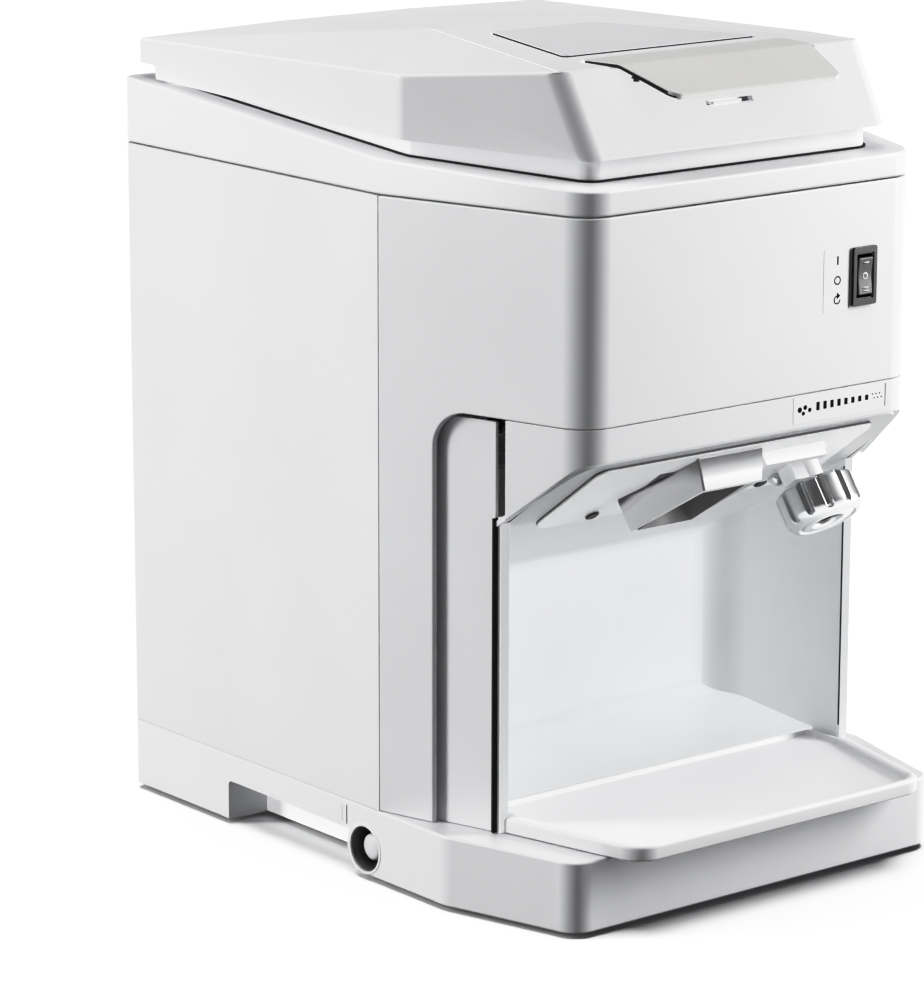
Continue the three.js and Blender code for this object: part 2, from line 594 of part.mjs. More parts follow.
function makeCollar() {
  const outer = upright(bodyOutline(0), COLLAR_SEAM + GAP, RIM_BACK + 5)
    .subtract(across(rimProfile(0, HEIGHT), -HALF - 1, HALF + 1));
  const pocket = upright(bodyOutline(WALL), COLLAR_SEAM - 1, RIM_BACK + 5)
    .intersect(across(rimProfile(WALL, COLLAR_SEAM - 2), -HALF, HALF));
  const mouth = upright(coamingOutline(0), COLLAR_SEAM - 1, HEIGHT);
  const lip = 4; // how far the coaming reaches up inside the lid
  const rear = lidBottom(30) + lip;
  const coaming = upright(coamingOutline(0), RIM_FRONT - 8, RIM_BACK + 8)
    .subtract(upright(coamingOutline(2.5), COLLAR_SEAM - 1, HEIGHT))
    .intersect(across([
      [-1, rear], [LID_KNEE, lidBottom(LID_KNEE) + lip], [FRONT_F, lidBottom(LID_CORNER[1]) + lip],
      [FRONT_F, RIM_FRONT - WALL], [TAPER_START, RIM_MID - WALL], [-1, RIM_BACK - WALL],
    ], -HALF, HALF));
  const pinHole = rod(1.7, [COLLAR_SEAM, HEIGHT], PIN.x, yAt(PIN.f), 16);
  piece('hopper_collar', cut(outer, pocket, mouth).add(coaming).subtract(pinHole), 'shell');
  const pinTop = lidBottom(PIN.f) - GAP;
  piece('interlock_pin', rod(1.4, [COLLAR_SEAM + 8, pinTop], PIN.x, yAt(PIN.f), 16), 'black');
}

const BIN = {
  mouth: { half: 96, near: 40, far: 327, z: 402 },
  rear: { half: 90, f: 46, z: 362 },
  chin: { half: 60, f: 349, z: 330 },
  throat: { half: 40, near: 321, far: 350 },
  sheet: 2.5,
};

/** Ice bin: its floor slopes forward to a throat that opens into the drum. */
function makeBin() {
  const { mouth, rear, chin, throat: neck, sheet } = BIN;
  const sides = (inset) => hull([-1, 1].flatMap((s) => [
    [s * (mouth.half - inset), mouth.near + inset, mouth.z + inset],
    [s * (mouth.half - inset), mouth.far - inset, mouth.z + inset],
    [s * (rear.half - inset), rear.f + inset, rear.z + inset],
    [s * (chin.half - inset), chin.f - inset, chin.z + inset],
  ]));
  const throat = (inset, low, high) => box(
    [-neck.half + inset, neck.half - inset], [neck.near + inset, neck.far - inset], [low, high]);
  const drum = rod(DRUM.radius + 4, [-10, DRUM.high + 2], 0, 0, 48).transform(headMatrix());
  const outer = sides(0).add(throat(0, 268, 340)).subtract(drum);
  piece('ice_bin', cut(outer, sides(sheet), throat(sheet, 250, 345)), 'bin');
}

// ---------------------------------------------------------------- lid
const LID_STEP = 23; // F of the step that clears the hinge

/** Height of the lid's lower edge at F; it steps up behind the coaming to clear the hinge. */
function lidBottom(f) {
  const step = [LID_STEP, LID_FOOT.rear];
  const knee = [LID_KNEE, LID_FOOT.knee];
  const front = [LID_CORNER[1], LID_FOOT.front];
  const [a, b] = f < LID_KNEE ? [step, knee] : [knee, front];
  return a[1] + ((b[1] - a[1]) * (f - a[0])) / (b[0] - a[0]);
}

/** Faceted block with the lid's top, moved in by an inset on every side but the bottom. */
function lidBlock(inset, low) {
  const corners = [];
  for (const sign of [-1, 1]) {
    corners.push(
      [sign * (LID_HALF - inset), LID_REAR + inset, LID_SIDE_TOP.rear - inset],
      [sign * (LID_HALF - inset), LID_KNEE, LID_SIDE_TOP.knee - inset],
      [sign * (LID_NOSE[0] - inset), LID_NOSE[1] - inset, LID_TOP - inset],
      [sign * LID_CREST[0], LID_CREST[1], LID_TOP - inset],
      [sign * LID_RIDGE[0], LID_REAR + inset, LID_RIDGE[1] - inset],
      [sign * (LID_HALF - inset), LID_REAR + inset, low],
      [sign * (LID_HALF - inset), LID_KNEE, low],
      [sign * (LID_CORNER[0] - inset * 0.8), LID_CORNER[1] - inset, LID_FOOT.front],
      [sign * (LID_CORNER[0] - inset * 0.8), LID_CORNER[1] - inset, low],
    );
  }
  return hull(corners);
}

const INLAY = [[36, 184, 3], [67, 281, 3]]; // right-hand corners: x, F and radius
const INLAY_SEAT = [[36.9, 183.2, 3], [68.1, 281.8, 3]];
const HANDLE = { rear: 298, bend: 324, front: 358, lip: 432.5, sheet: 2 };
const LATCH = { half: 16, low: 420.2, high: 423 };
const HANDLE_SCREW = { x: 60, f: 330, low: 436.5, high: 439.3 };

function makeLid() {
  const low = 385;
  const underside = [
    [LID_REAR - 1, 418.7], [LID_STEP - 2, 418.2], [LID_STEP, LID_FOOT.rear], [LID_KNEE, lidBottom(LID_KNEE)],
    [LID_CORNER[1] + 1, lidBottom(LID_CORNER[1])], [LID_CORNER[1] + 1, low - 1], [LID_REAR - 1, low - 1],
  ];
  const behind = across([[0, low], [26, low], [26, 411], [24, 420.7], [0, 420.7]], -HALF, HALF);
  const cavity = lidBlock(WALL, low - 2).subtract(behind);
  const inlaySeat = upright(rounded(mirrored(INLAY_SEAT)), LID_TOP - 1.6, HEIGHT);
  const flangeSeat = box([-71, 71], [HANDLE.rear - GAP, FRONT_F], [HEIGHT - HANDLE.sheet - GAP, HEIGHT]);
  const latchHole = box([-LATCH.half, LATCH.half], [325, 350], [LATCH.low, LATCH.high]);
  const block = cut(lidBlock(0, low), cavity, across(underside, -HALF, HALF));
  piece('lid', cut(block, inlaySeat, flangeSeat, latchHole), 'lid');
  piece('lid_inlay', upright(rounded(mirrored(INLAY)), LID_TOP - 1.6 + GAP, LID_TOP - 0.2), 'inlay');

  const { rear, bend, front, lip, sheet } = HANDLE;
  const side = across([
    [rear, HEIGHT], [bend, HEIGHT], [front, lip], [front - 0.8, lip - sheet],
    [bend - 0.5, HEIGHT - sheet], [rear, HEIGHT - sheet],
  ], -HALF, HALF);
  const plan = rounded(mirrored([[70, rear], [66, bend], [57.5, front, 6]]));
  piece('lid_handle', side.intersect(upright(plan, LID_TOP - 40, HEIGHT + 1)), 'handle');
  for (const [name, sign] of [['left', -1], ['right', 1]]) {
    const { x, f, low: tip, high } = HANDLE_SCREW;
    piece(`handle_screw_${name}`, rod(2.6, [tip, high], sign * x, yAt(f), 20), 'black');
  }
  const tongue = box([-LATCH.half + 4, LATCH.half - 8], [327, 342], [LATCH.low + 0.5, LATCH.high - 0.5]);
  piece('latch_tongue', tongue, 'lid');
}

function makeHinges() {
  const axis = (radius, x0, x1, sides) => crossRod(radius, [x0, x1], HINGE_F, HINGE_Z, sides);
  for (const [side, centre] of [['left', -HINGE_X], ['right', HINGE_X]]) {
    const at = (a, b) => [centre + a, centre + b];
    const ears = [[-9, -4], [4, 9]].map(([a, b]) => join(
      axis(4, centre + a, centre + b, 24),
      box(at(a, b), [HINGE_F - 3, -GAP], [410, HINGE_Z - 1]),
    ));
    const plate = box(at(-9, 9), [-3.3, -GAP], [392, 418]);
    const bore = axis(1.8 + GAP, centre - 20, centre + 20, 20);
    piece(`hinge_base_${side}`, join(plate, ...ears).subtract(bore), 'steel');
    const knuckle = axis(4, centre - 4 + GAP, centre + 4 - GAP, 24);
    const leaf = box(at(-4 + GAP, 4 - GAP), [HINGE_F, LID_REAR - GAP], [421, 426.5]);
    piece(`hinge_leaf_${side}`, knuckle.add(leaf).subtract(bore), 'steel');
    piece(`hinge_pin_${side}`, axis(1.8, centre - 9.6, centre + 9.6, 20), 'steel');
  }
}

// ---------------------------------------------------------------- switch, labels, rear fittings
const ROCKER_F = FRONT_F - 3;

function makeSwitch() {
  const { x, z, width, height } = SWITCH;
  const frame = box([x - width / 2, x + width / 2], [FRONT_F + GAP, FRONT_F + 2],
    [z - height / 2, z + height / 2]);
  const can = box([x - 6.7, x + 6.7], [FRONT_F - 22, FRONT_F + 1], [z - 12.7, z + 12.7]);
  const well = box([x - 5.4, x + 5.4], [FRONT_F - 12, FRONT_F + 5], [z - 11.6, z + 11.6]);
  piece('switch_bezel', frame.add(can).subtract(well), 'black');
  const profile = [
    [ROCKER_F - 5, z - 8], [FRONT_F + 2.6, z - 10.2], [FRONT_F + 1.6, z], [FRONT_F + 2.6, z + 10.2],
    [ROCKER_F - 5, z + 8],
  ];
  piece('power_rocker', across(profile, x - 5, x + 5), 'black');

  const face = [FRONT_F + GAP, FRONT_F + 0.8];
  piece('switch_label', box([48.5, 67.7], face, [307.5, 341]), 'label');
  piece('coarseness_label', box([28.6, 96.4], face, [250.2, 264.9]), 'label');
}

const HOOD = { half: 95, low: 90, high: 330, bevel: 14 };
const INLET = { x: 62, z: 64 };

function makeRear() {
  const { half, low, high, bevel } = HOOD;
  const body = (inset, open) => hull([-1, 1].flatMap((s) => [
    [s * (half - inset), -GAP + open, low + inset], [s * (half - inset), -GAP + open, high - inset],
    [s * (half - bevel - inset), -HOOD_DEPTH + inset, low + bevel + inset],
    [s * (half - bevel - inset), -HOOD_DEPTH + inset, high - bevel - inset],
  ]));
  const slots = [];
  for (let k = 0; k < 9; k += 1) {
    const z = low + 42 + k * 19;
    slots.push(box([-62, 62], [-HOOD_DEPTH - 1, -HOOD_DEPTH + 6], [z, z + 5]));
  }
  piece('rear_vent_hood', cut(body(0, 0), body(2.5, 1), ...slots), 'panel');

  const { x, z } = INLET;
  const flange = box([x - 20, x + 20], [-2.6, -GAP], [z - 14, z + 14]);
  const can = box([x - 14.6, x + 14.6], [-1, 18], [z - 10.6, z + 10.6]);
  const socket = box([x - 12, x + 12], [-4, 15], [z - 8, z + 8]);
  piece('power_inlet', flange.add(can).subtract(socket), 'black');
}

// ---------------------------------------------------------------- build
makeBase();
makeDrains();
makePanels();
makeFascia();
makeRecessPlates();
makeBayLiner();
makeTray();
makeBladeHead();
makeDrive();
makeAdjuster();
makeChute();
makeCollar();
makeBin();
makeLid();
makeHinges();
makeSwitch();
makeRear();

export default root;
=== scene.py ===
import json
import math

import bmesh
import bpy
from mathutils import Matrix, Vector


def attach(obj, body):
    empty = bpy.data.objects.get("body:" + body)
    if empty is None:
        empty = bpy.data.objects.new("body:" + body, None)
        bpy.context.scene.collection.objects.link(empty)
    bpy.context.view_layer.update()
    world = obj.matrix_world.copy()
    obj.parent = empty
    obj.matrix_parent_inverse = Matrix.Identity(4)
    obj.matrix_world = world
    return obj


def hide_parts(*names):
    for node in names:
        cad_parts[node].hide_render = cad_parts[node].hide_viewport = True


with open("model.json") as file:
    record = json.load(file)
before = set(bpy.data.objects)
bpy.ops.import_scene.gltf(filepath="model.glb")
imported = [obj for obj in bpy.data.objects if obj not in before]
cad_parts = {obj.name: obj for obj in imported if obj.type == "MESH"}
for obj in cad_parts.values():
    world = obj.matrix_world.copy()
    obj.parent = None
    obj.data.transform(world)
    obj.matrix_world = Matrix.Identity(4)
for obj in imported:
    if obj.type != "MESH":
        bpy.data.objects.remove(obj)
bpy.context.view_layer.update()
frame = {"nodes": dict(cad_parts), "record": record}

# Shaved ice machine: the visible surfaces, materials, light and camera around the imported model.
# Lengths are millimetres until at() or in_head() turns them into metres. F is the distance
# forward of the back panel's outer face, and heights are from the table.
MM = 0.001
BACK_Y = 180.5
HALF = 150
HEIGHT = 445
WALL = 3
GAP = 0.3
TAPER_START = 231
TAPER = 0.2882
SLANT = math.hypot(1, TAPER)
FRONT_F = 356.6
FRONT_RADIUS = 20
REAR_RADIUS = 6
FOOT = 3
BASE_TOP = 41.6
COWL_BOTTOM = 265.8
COLLAR_SEAM = 374.4
RIM_BACK, RIM_MID, RIM_FRONT = 411.4, 394, 387.7
PANEL_FOOT, PANEL_HEAD = BASE_TOP + GAP, COLLAR_SEAM - GAP
NOSE_FOOT = 213
BACK_HALF = 137.7
BAY_HALF = 119.5
BAY_BACK = 202
FLANGE_F = 302.3
FLANGE_HALF = 128
HEAD_F = 318
FACE_F, FACE_Z, FACE_SLOPE = 355, 247.4, 0.72
FACE_TILT = math.atan(FACE_SLOPE)
LID_HALF, LID_REAR, LID_KNEE, LID_TOP = 143, 5.4, 240, 444
LID_CORNER = (103, 346)
BASE_OUTLINE = ((HALF, 287), (143, 310.4), (131, 353), (128.2, 367.4))
FEET = {"front_left": (-98, 330), "front_right": (98, 330), "rear_left": (-112, 40), "rear_right": (112, 40)}
SIDES = (("left", -1), ("right", 1))
DRAIN = {"f": 218.2, "z": 17.4, "radius": 12.5, "depth": 13, "bore": 6, "rim": 15.4}
CARRY = {"near": 93.3, "far": 202.8, "top": 26, "depth": 27}
SWITCH = {"x": 77, "z": 324.6, "width": 17, "height": 31.4}
KNOB = {"x": 70, "y": -0.5, "root": -17.8}
HOOD = {"half": 95, "low": 90, "high": 330, "bevel": 14, "depth": 27}
INLET = {"x": 62, "z": 64}

SLOT_OF = {part["node"]: part["material_slot"] for part in frame["record"]["subparts"]}
BODY_OF = {node: body for body, nodes in frame["record"]["behaviour"]["bodies"].items() for node in nodes}


# ---------------------------------------------------------------- materials
def material(slot, color, spread=0.02, rough=0.38, rough_spread=0.02, grain=1500.0, relief=0.05,
             depth=0.00002, metallic=0.0, stretch=(1, 1, 1), specular=0.5):
    """Tone, gloss and a moulded or machined grain, from noise in the piece's own space."""
    made = bpy.data.materials.new(slot)
    made.use_nodes = True
    nodes, links = made.node_tree.nodes, made.node_tree.links
    shader = nodes["Principled BSDF"]
    shader.inputs["Metallic"].default_value = metallic
    shader.inputs["Specular IOR Level"].default_value = specular
    place = nodes.new("ShaderNodeTexCoord")
    mapping = nodes.new("ShaderNodeMapping")
    mapping.inputs["Scale"].default_value = stretch
    links.new(place.outputs["Object"], mapping.inputs["Vector"])

    def noise(scale, detail):
        node = nodes.new("ShaderNodeTexNoise")
        node.inputs["Scale"].default_value = scale
        node.inputs["Detail"].default_value = detail
        links.new(mapping.outputs["Vector"], node.inputs["Vector"])
        return node.outputs["Fac"]

    tone = nodes.new("ShaderNodeValToRGB")
    tone.color_ramp.elements[0].position = 0.3
    tone.color_ramp.elements[1].position = 0.7
    tone.color_ramp.elements[0].color = (*(c * (1 - spread) for c in color), 1)
    tone.color_ramp.elements[1].color = (*(min(1.0, c * (1 + spread)) for c in color), 1)
    links.new(noise(14.0, 4.0), tone.inputs["Fac"])
    links.new(tone.outputs["Color"], shader.inputs["Base Color"])

    gloss = nodes.new("ShaderNodeMapRange")
    gloss.inputs["From Min"].default_value = 0.3
    gloss.inputs["From Max"].default_value = 0.7
    gloss.inputs["To Min"].default_value = rough - rough_spread
    gloss.inputs["To Max"].default_value = rough + rough_spread
    links.new(noise(60.0, 5.0), gloss.inputs["Value"])
    links.new(gloss.outputs["Result"], shader.inputs["Roughness"])

    bump = nodes.new("ShaderNodeBump")
    bump.inputs["Strength"].default_value = relief
    bump.inputs["Distance"].default_value = depth
    links.new(noise(grain, 3.0), bump.inputs["Height"])
    links.new(bump.outputs["Normal"], shader.inputs["Normal"])
    return made


MATERIAL = {
    "shell_white": material("shell_white", (0.84, 0.842, 0.85), rough=0.36, relief=0.25),
    "panel_white": material("panel_white", (0.79, 0.793, 0.80), rough=0.40, relief=0.35),
    "liner_white": material("liner_white", (0.785, 0.79, 0.797), rough=0.38, relief=0.25),
    "lid_white": material("lid_white", (0.80, 0.80, 0.808), rough=0.34, relief=0.15, specular=0.2),
    "handle_grey": material("handle_grey", (0.70, 0.693, 0.682), rough=0.34, relief=0.2),
    "inlay_grey": material("inlay_grey", (0.70, 0.702, 0.708), rough=0.45, relief=0.5, grain=2200),
    "bin_plastic": material("bin_plastic", (0.70, 0.73, 0.75), rough=0.35, relief=0.3),
    "black_plastic": material("black_plastic", (0.012, 0.012, 0.014), spread=0.3, rough=0.3, relief=0.4),
    "label_film": material("label_film", (0.90, 0.90, 0.90), spread=0.01, rough=0.5, relief=0.3, grain=700),
    "rubber_black": material("rubber_black", (0.02, 0.02, 0.021), spread=0.3, rough=0.8, relief=0.8,
                             grain=900, specular=0.3),
    "plated_grip": material("plated_grip", (0.60, 0.605, 0.61), rough=0.36, rough_spread=0.05, relief=0.2,
                            grain=500, metallic=0.93),
    "steel": material("steel", (0.56, 0.57, 0.58), spread=0.05, rough=0.32, rough_spread=0.08, relief=0.5,
                      grain=300, metallic=1.0, stretch=(1, 1, 12)),
    "cast_alloy": material("cast_alloy", (0.42, 0.43, 0.45), spread=0.08, rough=0.5, relief=0.9,
                           grain=450, depth=0.00008, metallic=1.0),
}
INK = material("ink", (0.008, 0.008, 0.008), spread=0.2, rough=0.8, relief=0.2, specular=0.1)
# Dark grey: the rocker's own colour, and also painted shade on the drain walls and the chute's edge strip.
ROCKER_GREY_AND_PAINTED_SHADE = material("rocker_grey_and_painted_shade", (0.13, 0.13, 0.135), spread=0.05, rough=0.35, relief=0.3)
# Mid grey painted shade, for the chute's inner walls and the outline round the cover plate.
SHADED = material("painted_shade_grey", (0.30, 0.30, 0.305), rough=0.5, relief=0.3)
MARK = material("mark_white", (0.85, 0.85, 0.84), spread=0.02, rough=0.45, relief=0.2)


# ---------------------------------------------------------------- outlines
def rounded(corners, steps=10):
    """Replaces corners by arcs; each corner is (u, v) or (u, v, radius)."""
    outline = []
    for i, corner in enumerate(corners):
        here = Vector(corner[:2])
        radius = corner[2] if len(corner) > 2 else 0
        if not radius:
            outline.append(tuple(here))
            continue
        a = (Vector(corners[i - 1][:2]) - here).normalized()
        b = (Vector(corners[(i + 1) % len(corners)][:2]) - here).normalized()
        half = a.angle(b) / 2
        middle = here + (a + b).normalized() * radius / math.sin(half)
        start = here + a * radius / math.tan(half) - middle
        end = here + b * radius / math.tan(half) - middle
        turn = math.atan2(start.x * end.y - start.y * end.x, start.dot(end))
        for k in range(steps + 1):
            c, s = math.cos(turn * k / steps), math.sin(turn * k / steps)
            outline.append((middle.x + c * start.x - s * start.y, middle.y + s * start.x + c * start.y))
    return outline


def mirrored(points):
    return list(points) + [(-x, *rest) for x, *rest in reversed(points)]


def circle(u, v, radius, count=48):
    turns = (2 * math.pi * k / count for k in range(count))
    return [(u + radius * math.cos(a), v + radius * math.sin(a)) for a in turns]


def rectangle(u, v, width, height, radius=0.0, steps=6):
    w, h = width / 2, height / 2
    return rounded([(u - w, v - h, radius), (u + w, v - h, radius), (u + w, v + h, radius),
                    (u - w, v + h, radius)], steps)


def taper_half(f, inset=0.0):
    return HALF - (f - TAPER_START) * TAPER - inset * SLANT


def body_outline(inset=0.0):
    front = FRONT_F - inset
    return rounded(mirrored([
        (HALF - inset, inset, max(REAR_RADIUS - inset, 1)),
        (HALF - inset, TAPER_START - inset * (SLANT - 1) / TAPER),
        (taper_half(front, inset), front, FRONT_RADIUS - inset),
    ]), 14)


def base_outline(inset=0.0):
    knee, shoulder, cheek, nose = BASE_OUTLINE
    return rounded(mirrored([
        (HALF - inset, inset, max(REAR_RADIUS - inset, 1)),
        (knee[0] - inset, knee[1], 30),
        (shoulder[0] - inset, shoulder[1]),
        (cheek[0] - inset, cheek[1] - inset / 2),
        (nose[0] - inset, nose[1] - inset, 14 - inset),
    ]), 12)


def face_z(f):
    return FACE_Z - (FACE_F - f) * FACE_SLOPE


# ---------------------------------------------------------------- solids
def at(x, f, z):
    return Vector((x, BACK_Y - f, z)) * MM


HEAD = Matrix.Translation(at(0, HEAD_F, face_z(HEAD_F))) @ Matrix.Rotation(-FACE_TILT, 4, "X")


def in_head(x, y, z):
    """The blade head's own axes: z runs into the machine, y down the slope to the back."""
    return HEAD @ (Vector((x, y, z)) * MM)


def closed(bm):
    bmesh.ops.recalc_face_normals(bm, faces=bm.faces)
    mesh = bpy.data.meshes.new("draft")
    bm.to_mesh(mesh)
    bm.free()
    obj = bpy.data.objects.new("draft", mesh)
    bpy.context.scene.collection.objects.link(obj)
    return obj


def loft(rings):
    """Closed skin through rings of equal count; a ring of one point closes the end in a fan."""
    bm = bmesh.new()
    rows = [[bm.verts.new(p) for p in ring] for ring in rings]
    for a, b in zip(rows, rows[1:]):
        count = max(len(a), len(b))
        for i in range(count):
            j = (i + 1) % count
            corners = (a[i % len(a)], a[j % len(a)], b[j % len(b)], b[i % len(b)])
            bm.faces.new(list(dict.fromkeys(corners)))
    for row in (rows[0], rows[-1]):
        if len(row) > 2:
            bm.faces.new(row)
    return closed(bm)


def upright(points, low, high):
    return loft([[at(x, f, z) for x, f in points] for z in (low, high)])


def across(points, left, right):
    return loft([[at(x, f, z) for f, z in points] for x in (left, right)])


def forward(points, near, far):
    return loft([[at(x, f, z) for x, z in points] for f in (near, far)])


def head_prism(points, low, high):
    return loft([[in_head(x, y, z) for x, y in points] for z in (low, high)])


def box(xs, fs, zs):
    return upright([(xs[0], fs[0]), (xs[1], fs[0]), (xs[1], fs[1]), (xs[0], fs[1])], *zs)


def head_box(xs, ys, zs):
    return head_prism([(xs[0], ys[0]), (xs[1], ys[0]), (xs[1], ys[1]), (xs[0], ys[1])], *zs)


def throat(grow, low, high):
    """The opening in the slanted face that the shavings fall through."""
    return head_box((-44 - grow, 10 + grow), (-18 - grow, 10 + grow), (low, high))


def turned(profile, place, sides=64, shape=None):
    """Solid of revolution; profile is (radius, w), and shape(angle, radius, w) may bend a radius."""
    rings = []
    for radius, w in profile:
        if radius == 0:
            rings.append([place(0, 0, w)])
            continue
        ring = []
        for k in range(sides):
            a = 2 * math.pi * k / sides
            r = shape(a, radius, w) if shape else radius
            ring.append(place(r * math.cos(a), r * math.sin(a), w))
        rings.append(ring)
    return loft(rings)


def tube(outer, inner, low, high, place, sides=64):
    """A straight ring with a clear bore; turned() would close its ends with discs."""
    return cut(turned([(outer, low), (outer, high)], place, sides),
               turned([(inner, low - 1), (inner, high + 1)], place, sides))


def hull(points):
    bm = bmesh.new()
    for point in points:
        bm.verts.new(at(*point))
    made = bmesh.ops.convex_hull(bm, input=bm.verts)
    loose = set(made["geom_interior"]) | set(made["geom_unused"])
    bmesh.ops.delete(bm, geom=[g for g in loose if isinstance(g, bmesh.types.BMVert)], context="VERTS")
    bmesh.ops.dissolve_limit(bm, angle_limit=math.radians(0.4), verts=bm.verts, edges=bm.edges)
    return closed(bm)


def settle(obj):
    """Makes obj's mesh what its modifiers show."""
    graph = bpy.context.evaluated_depsgraph_get()
    mesh = bpy.data.meshes.new_from_object(obj.evaluated_get(graph))
    obj.modifiers.clear()
    obj.data = mesh
    return obj


def combine(obj, operation, *tools):
    for tool in tools:
        step = obj.modifiers.new("step", "BOOLEAN")
        step.operation, step.solver, step.object = operation, "EXACT", tool
        settle(obj)
        bpy.data.objects.remove(tool)
    return obj


def cut(obj, *tools):
    return combine(obj, "DIFFERENCE", *tools)


def join(obj, *tools):
    return combine(obj, "UNION", *tools)


def meet(obj, *tools):
    return combine(obj, "INTERSECT", *tools)


def copied(obj):
    twin = obj.copy()
    twin.data = obj.data.copy()
    bpy.context.scene.collection.objects.link(twin)
    return twin


def clean(obj):
    bm = bmesh.new()
    bm.from_mesh(obj.data)
    bmesh.ops.remove_doubles(bm, verts=bm.verts, dist=2e-6)
    bmesh.ops.dissolve_limit(bm, angle_limit=math.radians(0.3), verts=bm.verts, edges=bm.edges)
    bm.to_mesh(obj.data)
    bm.free()
    return obj


def soften(obj, width, segments=3, angle=30, weight=None):
    """Rounds obj's edges; weight(middle, direction), in mm and as a unit, scales one edge's width."""
    clean(obj)
    step = obj.modifiers.new("soften", "BEVEL")
    step.width = width * MM
    step.segments = segments
    step.limit_method = "ANGLE"
    step.angle_limit = math.radians(angle)
    step.miter_outer = "MITER_ARC"
    if weight:
        bm = bmesh.new()
        bm.from_mesh(obj.data)
        layer = bm.edges.layers.float.new("bevel_weight_edge")
        for edge in bm.edges:
            a, b = (v.co / MM for v in edge.verts)
            turn = edge.calc_face_angle(0)
            edge[layer] = weight((a + b) / 2, (b - a).normalized()) if turn > math.radians(angle) else 0
        bm.to_mesh(obj.data)
        bm.free()
        step.limit_method = "WEIGHT"
    return settle(obj)


def mend(obj):
    """Drops doubled faces and fills pinholes that the booleans left."""
    bm = bmesh.new()
    bm.from_mesh(obj.data)
    # Two faces on the same corners are an empty pocket, so both go unless something else joins them.
    known, twice = {}, []
    for face in bm.faces:
        other = known.setdefault(frozenset(face.verts), face)
        if other is not face:
            alone = all(len(edge.link_faces) == 2 for edge in face.edges)
            twice += [face, other] if alone else [face]
    bmesh.ops.delete(bm, geom=twice, context="FACES_ONLY")
    bmesh.ops.holes_fill(bm, edges=[edge for edge in bm.edges if edge.is_boundary], sides=0)
    bm.to_mesh(obj.data)
    bm.free()


def publish(obj, name, node=None, replaced=(), finish=None, body=None, slot=None):
    """Names obj, paints it, and makes it ride on its node's body in place of that node."""
    nodes = ([node] if node else []) + list(replaced)
    mend(obj)
    obj.name = obj.data.name = name
    slot = slot or SLOT_OF[nodes[0]]
    obj.data.materials.clear()
    obj.data.materials.append(finish or MATERIAL[slot])
    obj.data.shade_smooth()
    level = obj.modifiers.new("level", "WEIGHTED_NORMAL")
    level.weight = 100
    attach(obj, body or BODY_OF[nodes[0]])
    if nodes:
        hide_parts(*nodes)


def polish(node, width):
    """Keeps a CAD node, rounds its edges by width with modifiers and gives it its finish."""
    obj = frame["nodes"][node]
    obj.modifiers.new("weld", "WELD").merge_threshold = 2e-6
    flat = obj.modifiers.new("flat", "DECIMATE")
    flat.decimate_type = "DISSOLVE"
    flat.angle_limit = math.radians(0.5)
    if width:
        edge = obj.modifiers.new("edge", "BEVEL")
        edge.width = width * MM
        edge.segments = 2
        edge.limit_method = "ANGLE"
        edge.angle_limit = math.radians(35)
    obj.modifiers.new("level", "WEIGHTED_NORMAL")
    obj.data.materials.clear()
    obj.data.materials.append(MATERIAL[SLOT_OF[node]])


# ---------------------------------------------------------------- base
def make_base():
    deck = BASE_TOP - WALL
    pan = soften(upright(base_outline(), FOOT, BASE_TOP), 1.4, 4, 40)
    cut(pan, upright(base_outline(WALL), FOOT - 1, deck))
    d = DRAIN
    pocket = HALF - CARRY["depth"]
    near, far = CARRY["near"], CARRY["far"]
    full = (FOOT, deck + 1)
    for _, sign in SIDES:
        join(pan, box((sign * (pocket - WALL), sign * (HALF - 1.5)), (near - WALL, far + WALL), full))
        join(pan, box((sign * (HALF - d["depth"] - WALL), sign * (HALF - 1.5)),
                      (far + 2, d["f"] + d["rim"]), full))
        # The mouth of the recess runs round the rim of the drain.
        start, end = math.radians(148), math.radians(253)
        arc = [start + (end - start) * k / 12 for k in range(13)]
        mouth = [(near, FOOT - 2), (near, CARRY["top"], 3)]
        mouth += [(d["f"] + d["rim"] * math.cos(a), d["z"] + d["rim"] * math.sin(a)) for a in arc]
        mouth += [(d["f"] - 4.2, FOOT - 2)]
        cut(pan, across(rounded(mouth), sign * pocket, sign * (HALF + 2)))
        rim = across(circle(d["f"], d["z"], d["radius"] + 1.6, 56), sign * (HALF - 2), sign * (HALF + 0.35))
        join(pan, soften(rim, 0.3, 2, 40))
        outlet, bore = circle(d["f"], d["z"], d["radius"], 56), circle(d["f"], d["z"], d["bore"], 32)
        cut(pan, across(outlet, sign * (HALF - d["depth"]), sign * (HALF + 2)))
        cut(pan, across(bore, sign * (HALF - 25), sign * HALF))
        # A slit behind the drain, and two shallow lines above the recess
        deep = (sign * (HALF - 1.6), sign * (HALF + 1))
        cut(pan, box(deep, (201.8, 202.8), (27.6, 38.2)))
        shallow = (sign * (HALF - 0.35), sign * (HALF + 1))
        cut(pan, box(shallow, (112, 198.4), (27.8, 28.3)), box(shallow, (197.9, 198.4), (27.8, 37.4)))
    for x, f in FEET.values():
        join(pan, upright(circle(x, f, 12), *full))
    publish(soften(pan, 0.35, 2, 40), "base_moulding", "base_pan")

    profile = [(0, 1.0), (5.5, 1.0), (6.4, 0.1), (9.2, 0), (10, 0.5), (10.9, 2.3), (10.6, 2.7), (0, 2.7)]
    for corner, (x, f) in FEET.items():
        foot = turned(profile, lambda u, v, w, x=x, f=f: at(x + u, f + v, w), 48)
        publish(foot, f"foot_pad_{corner}", f"rubber_foot_{corner}")


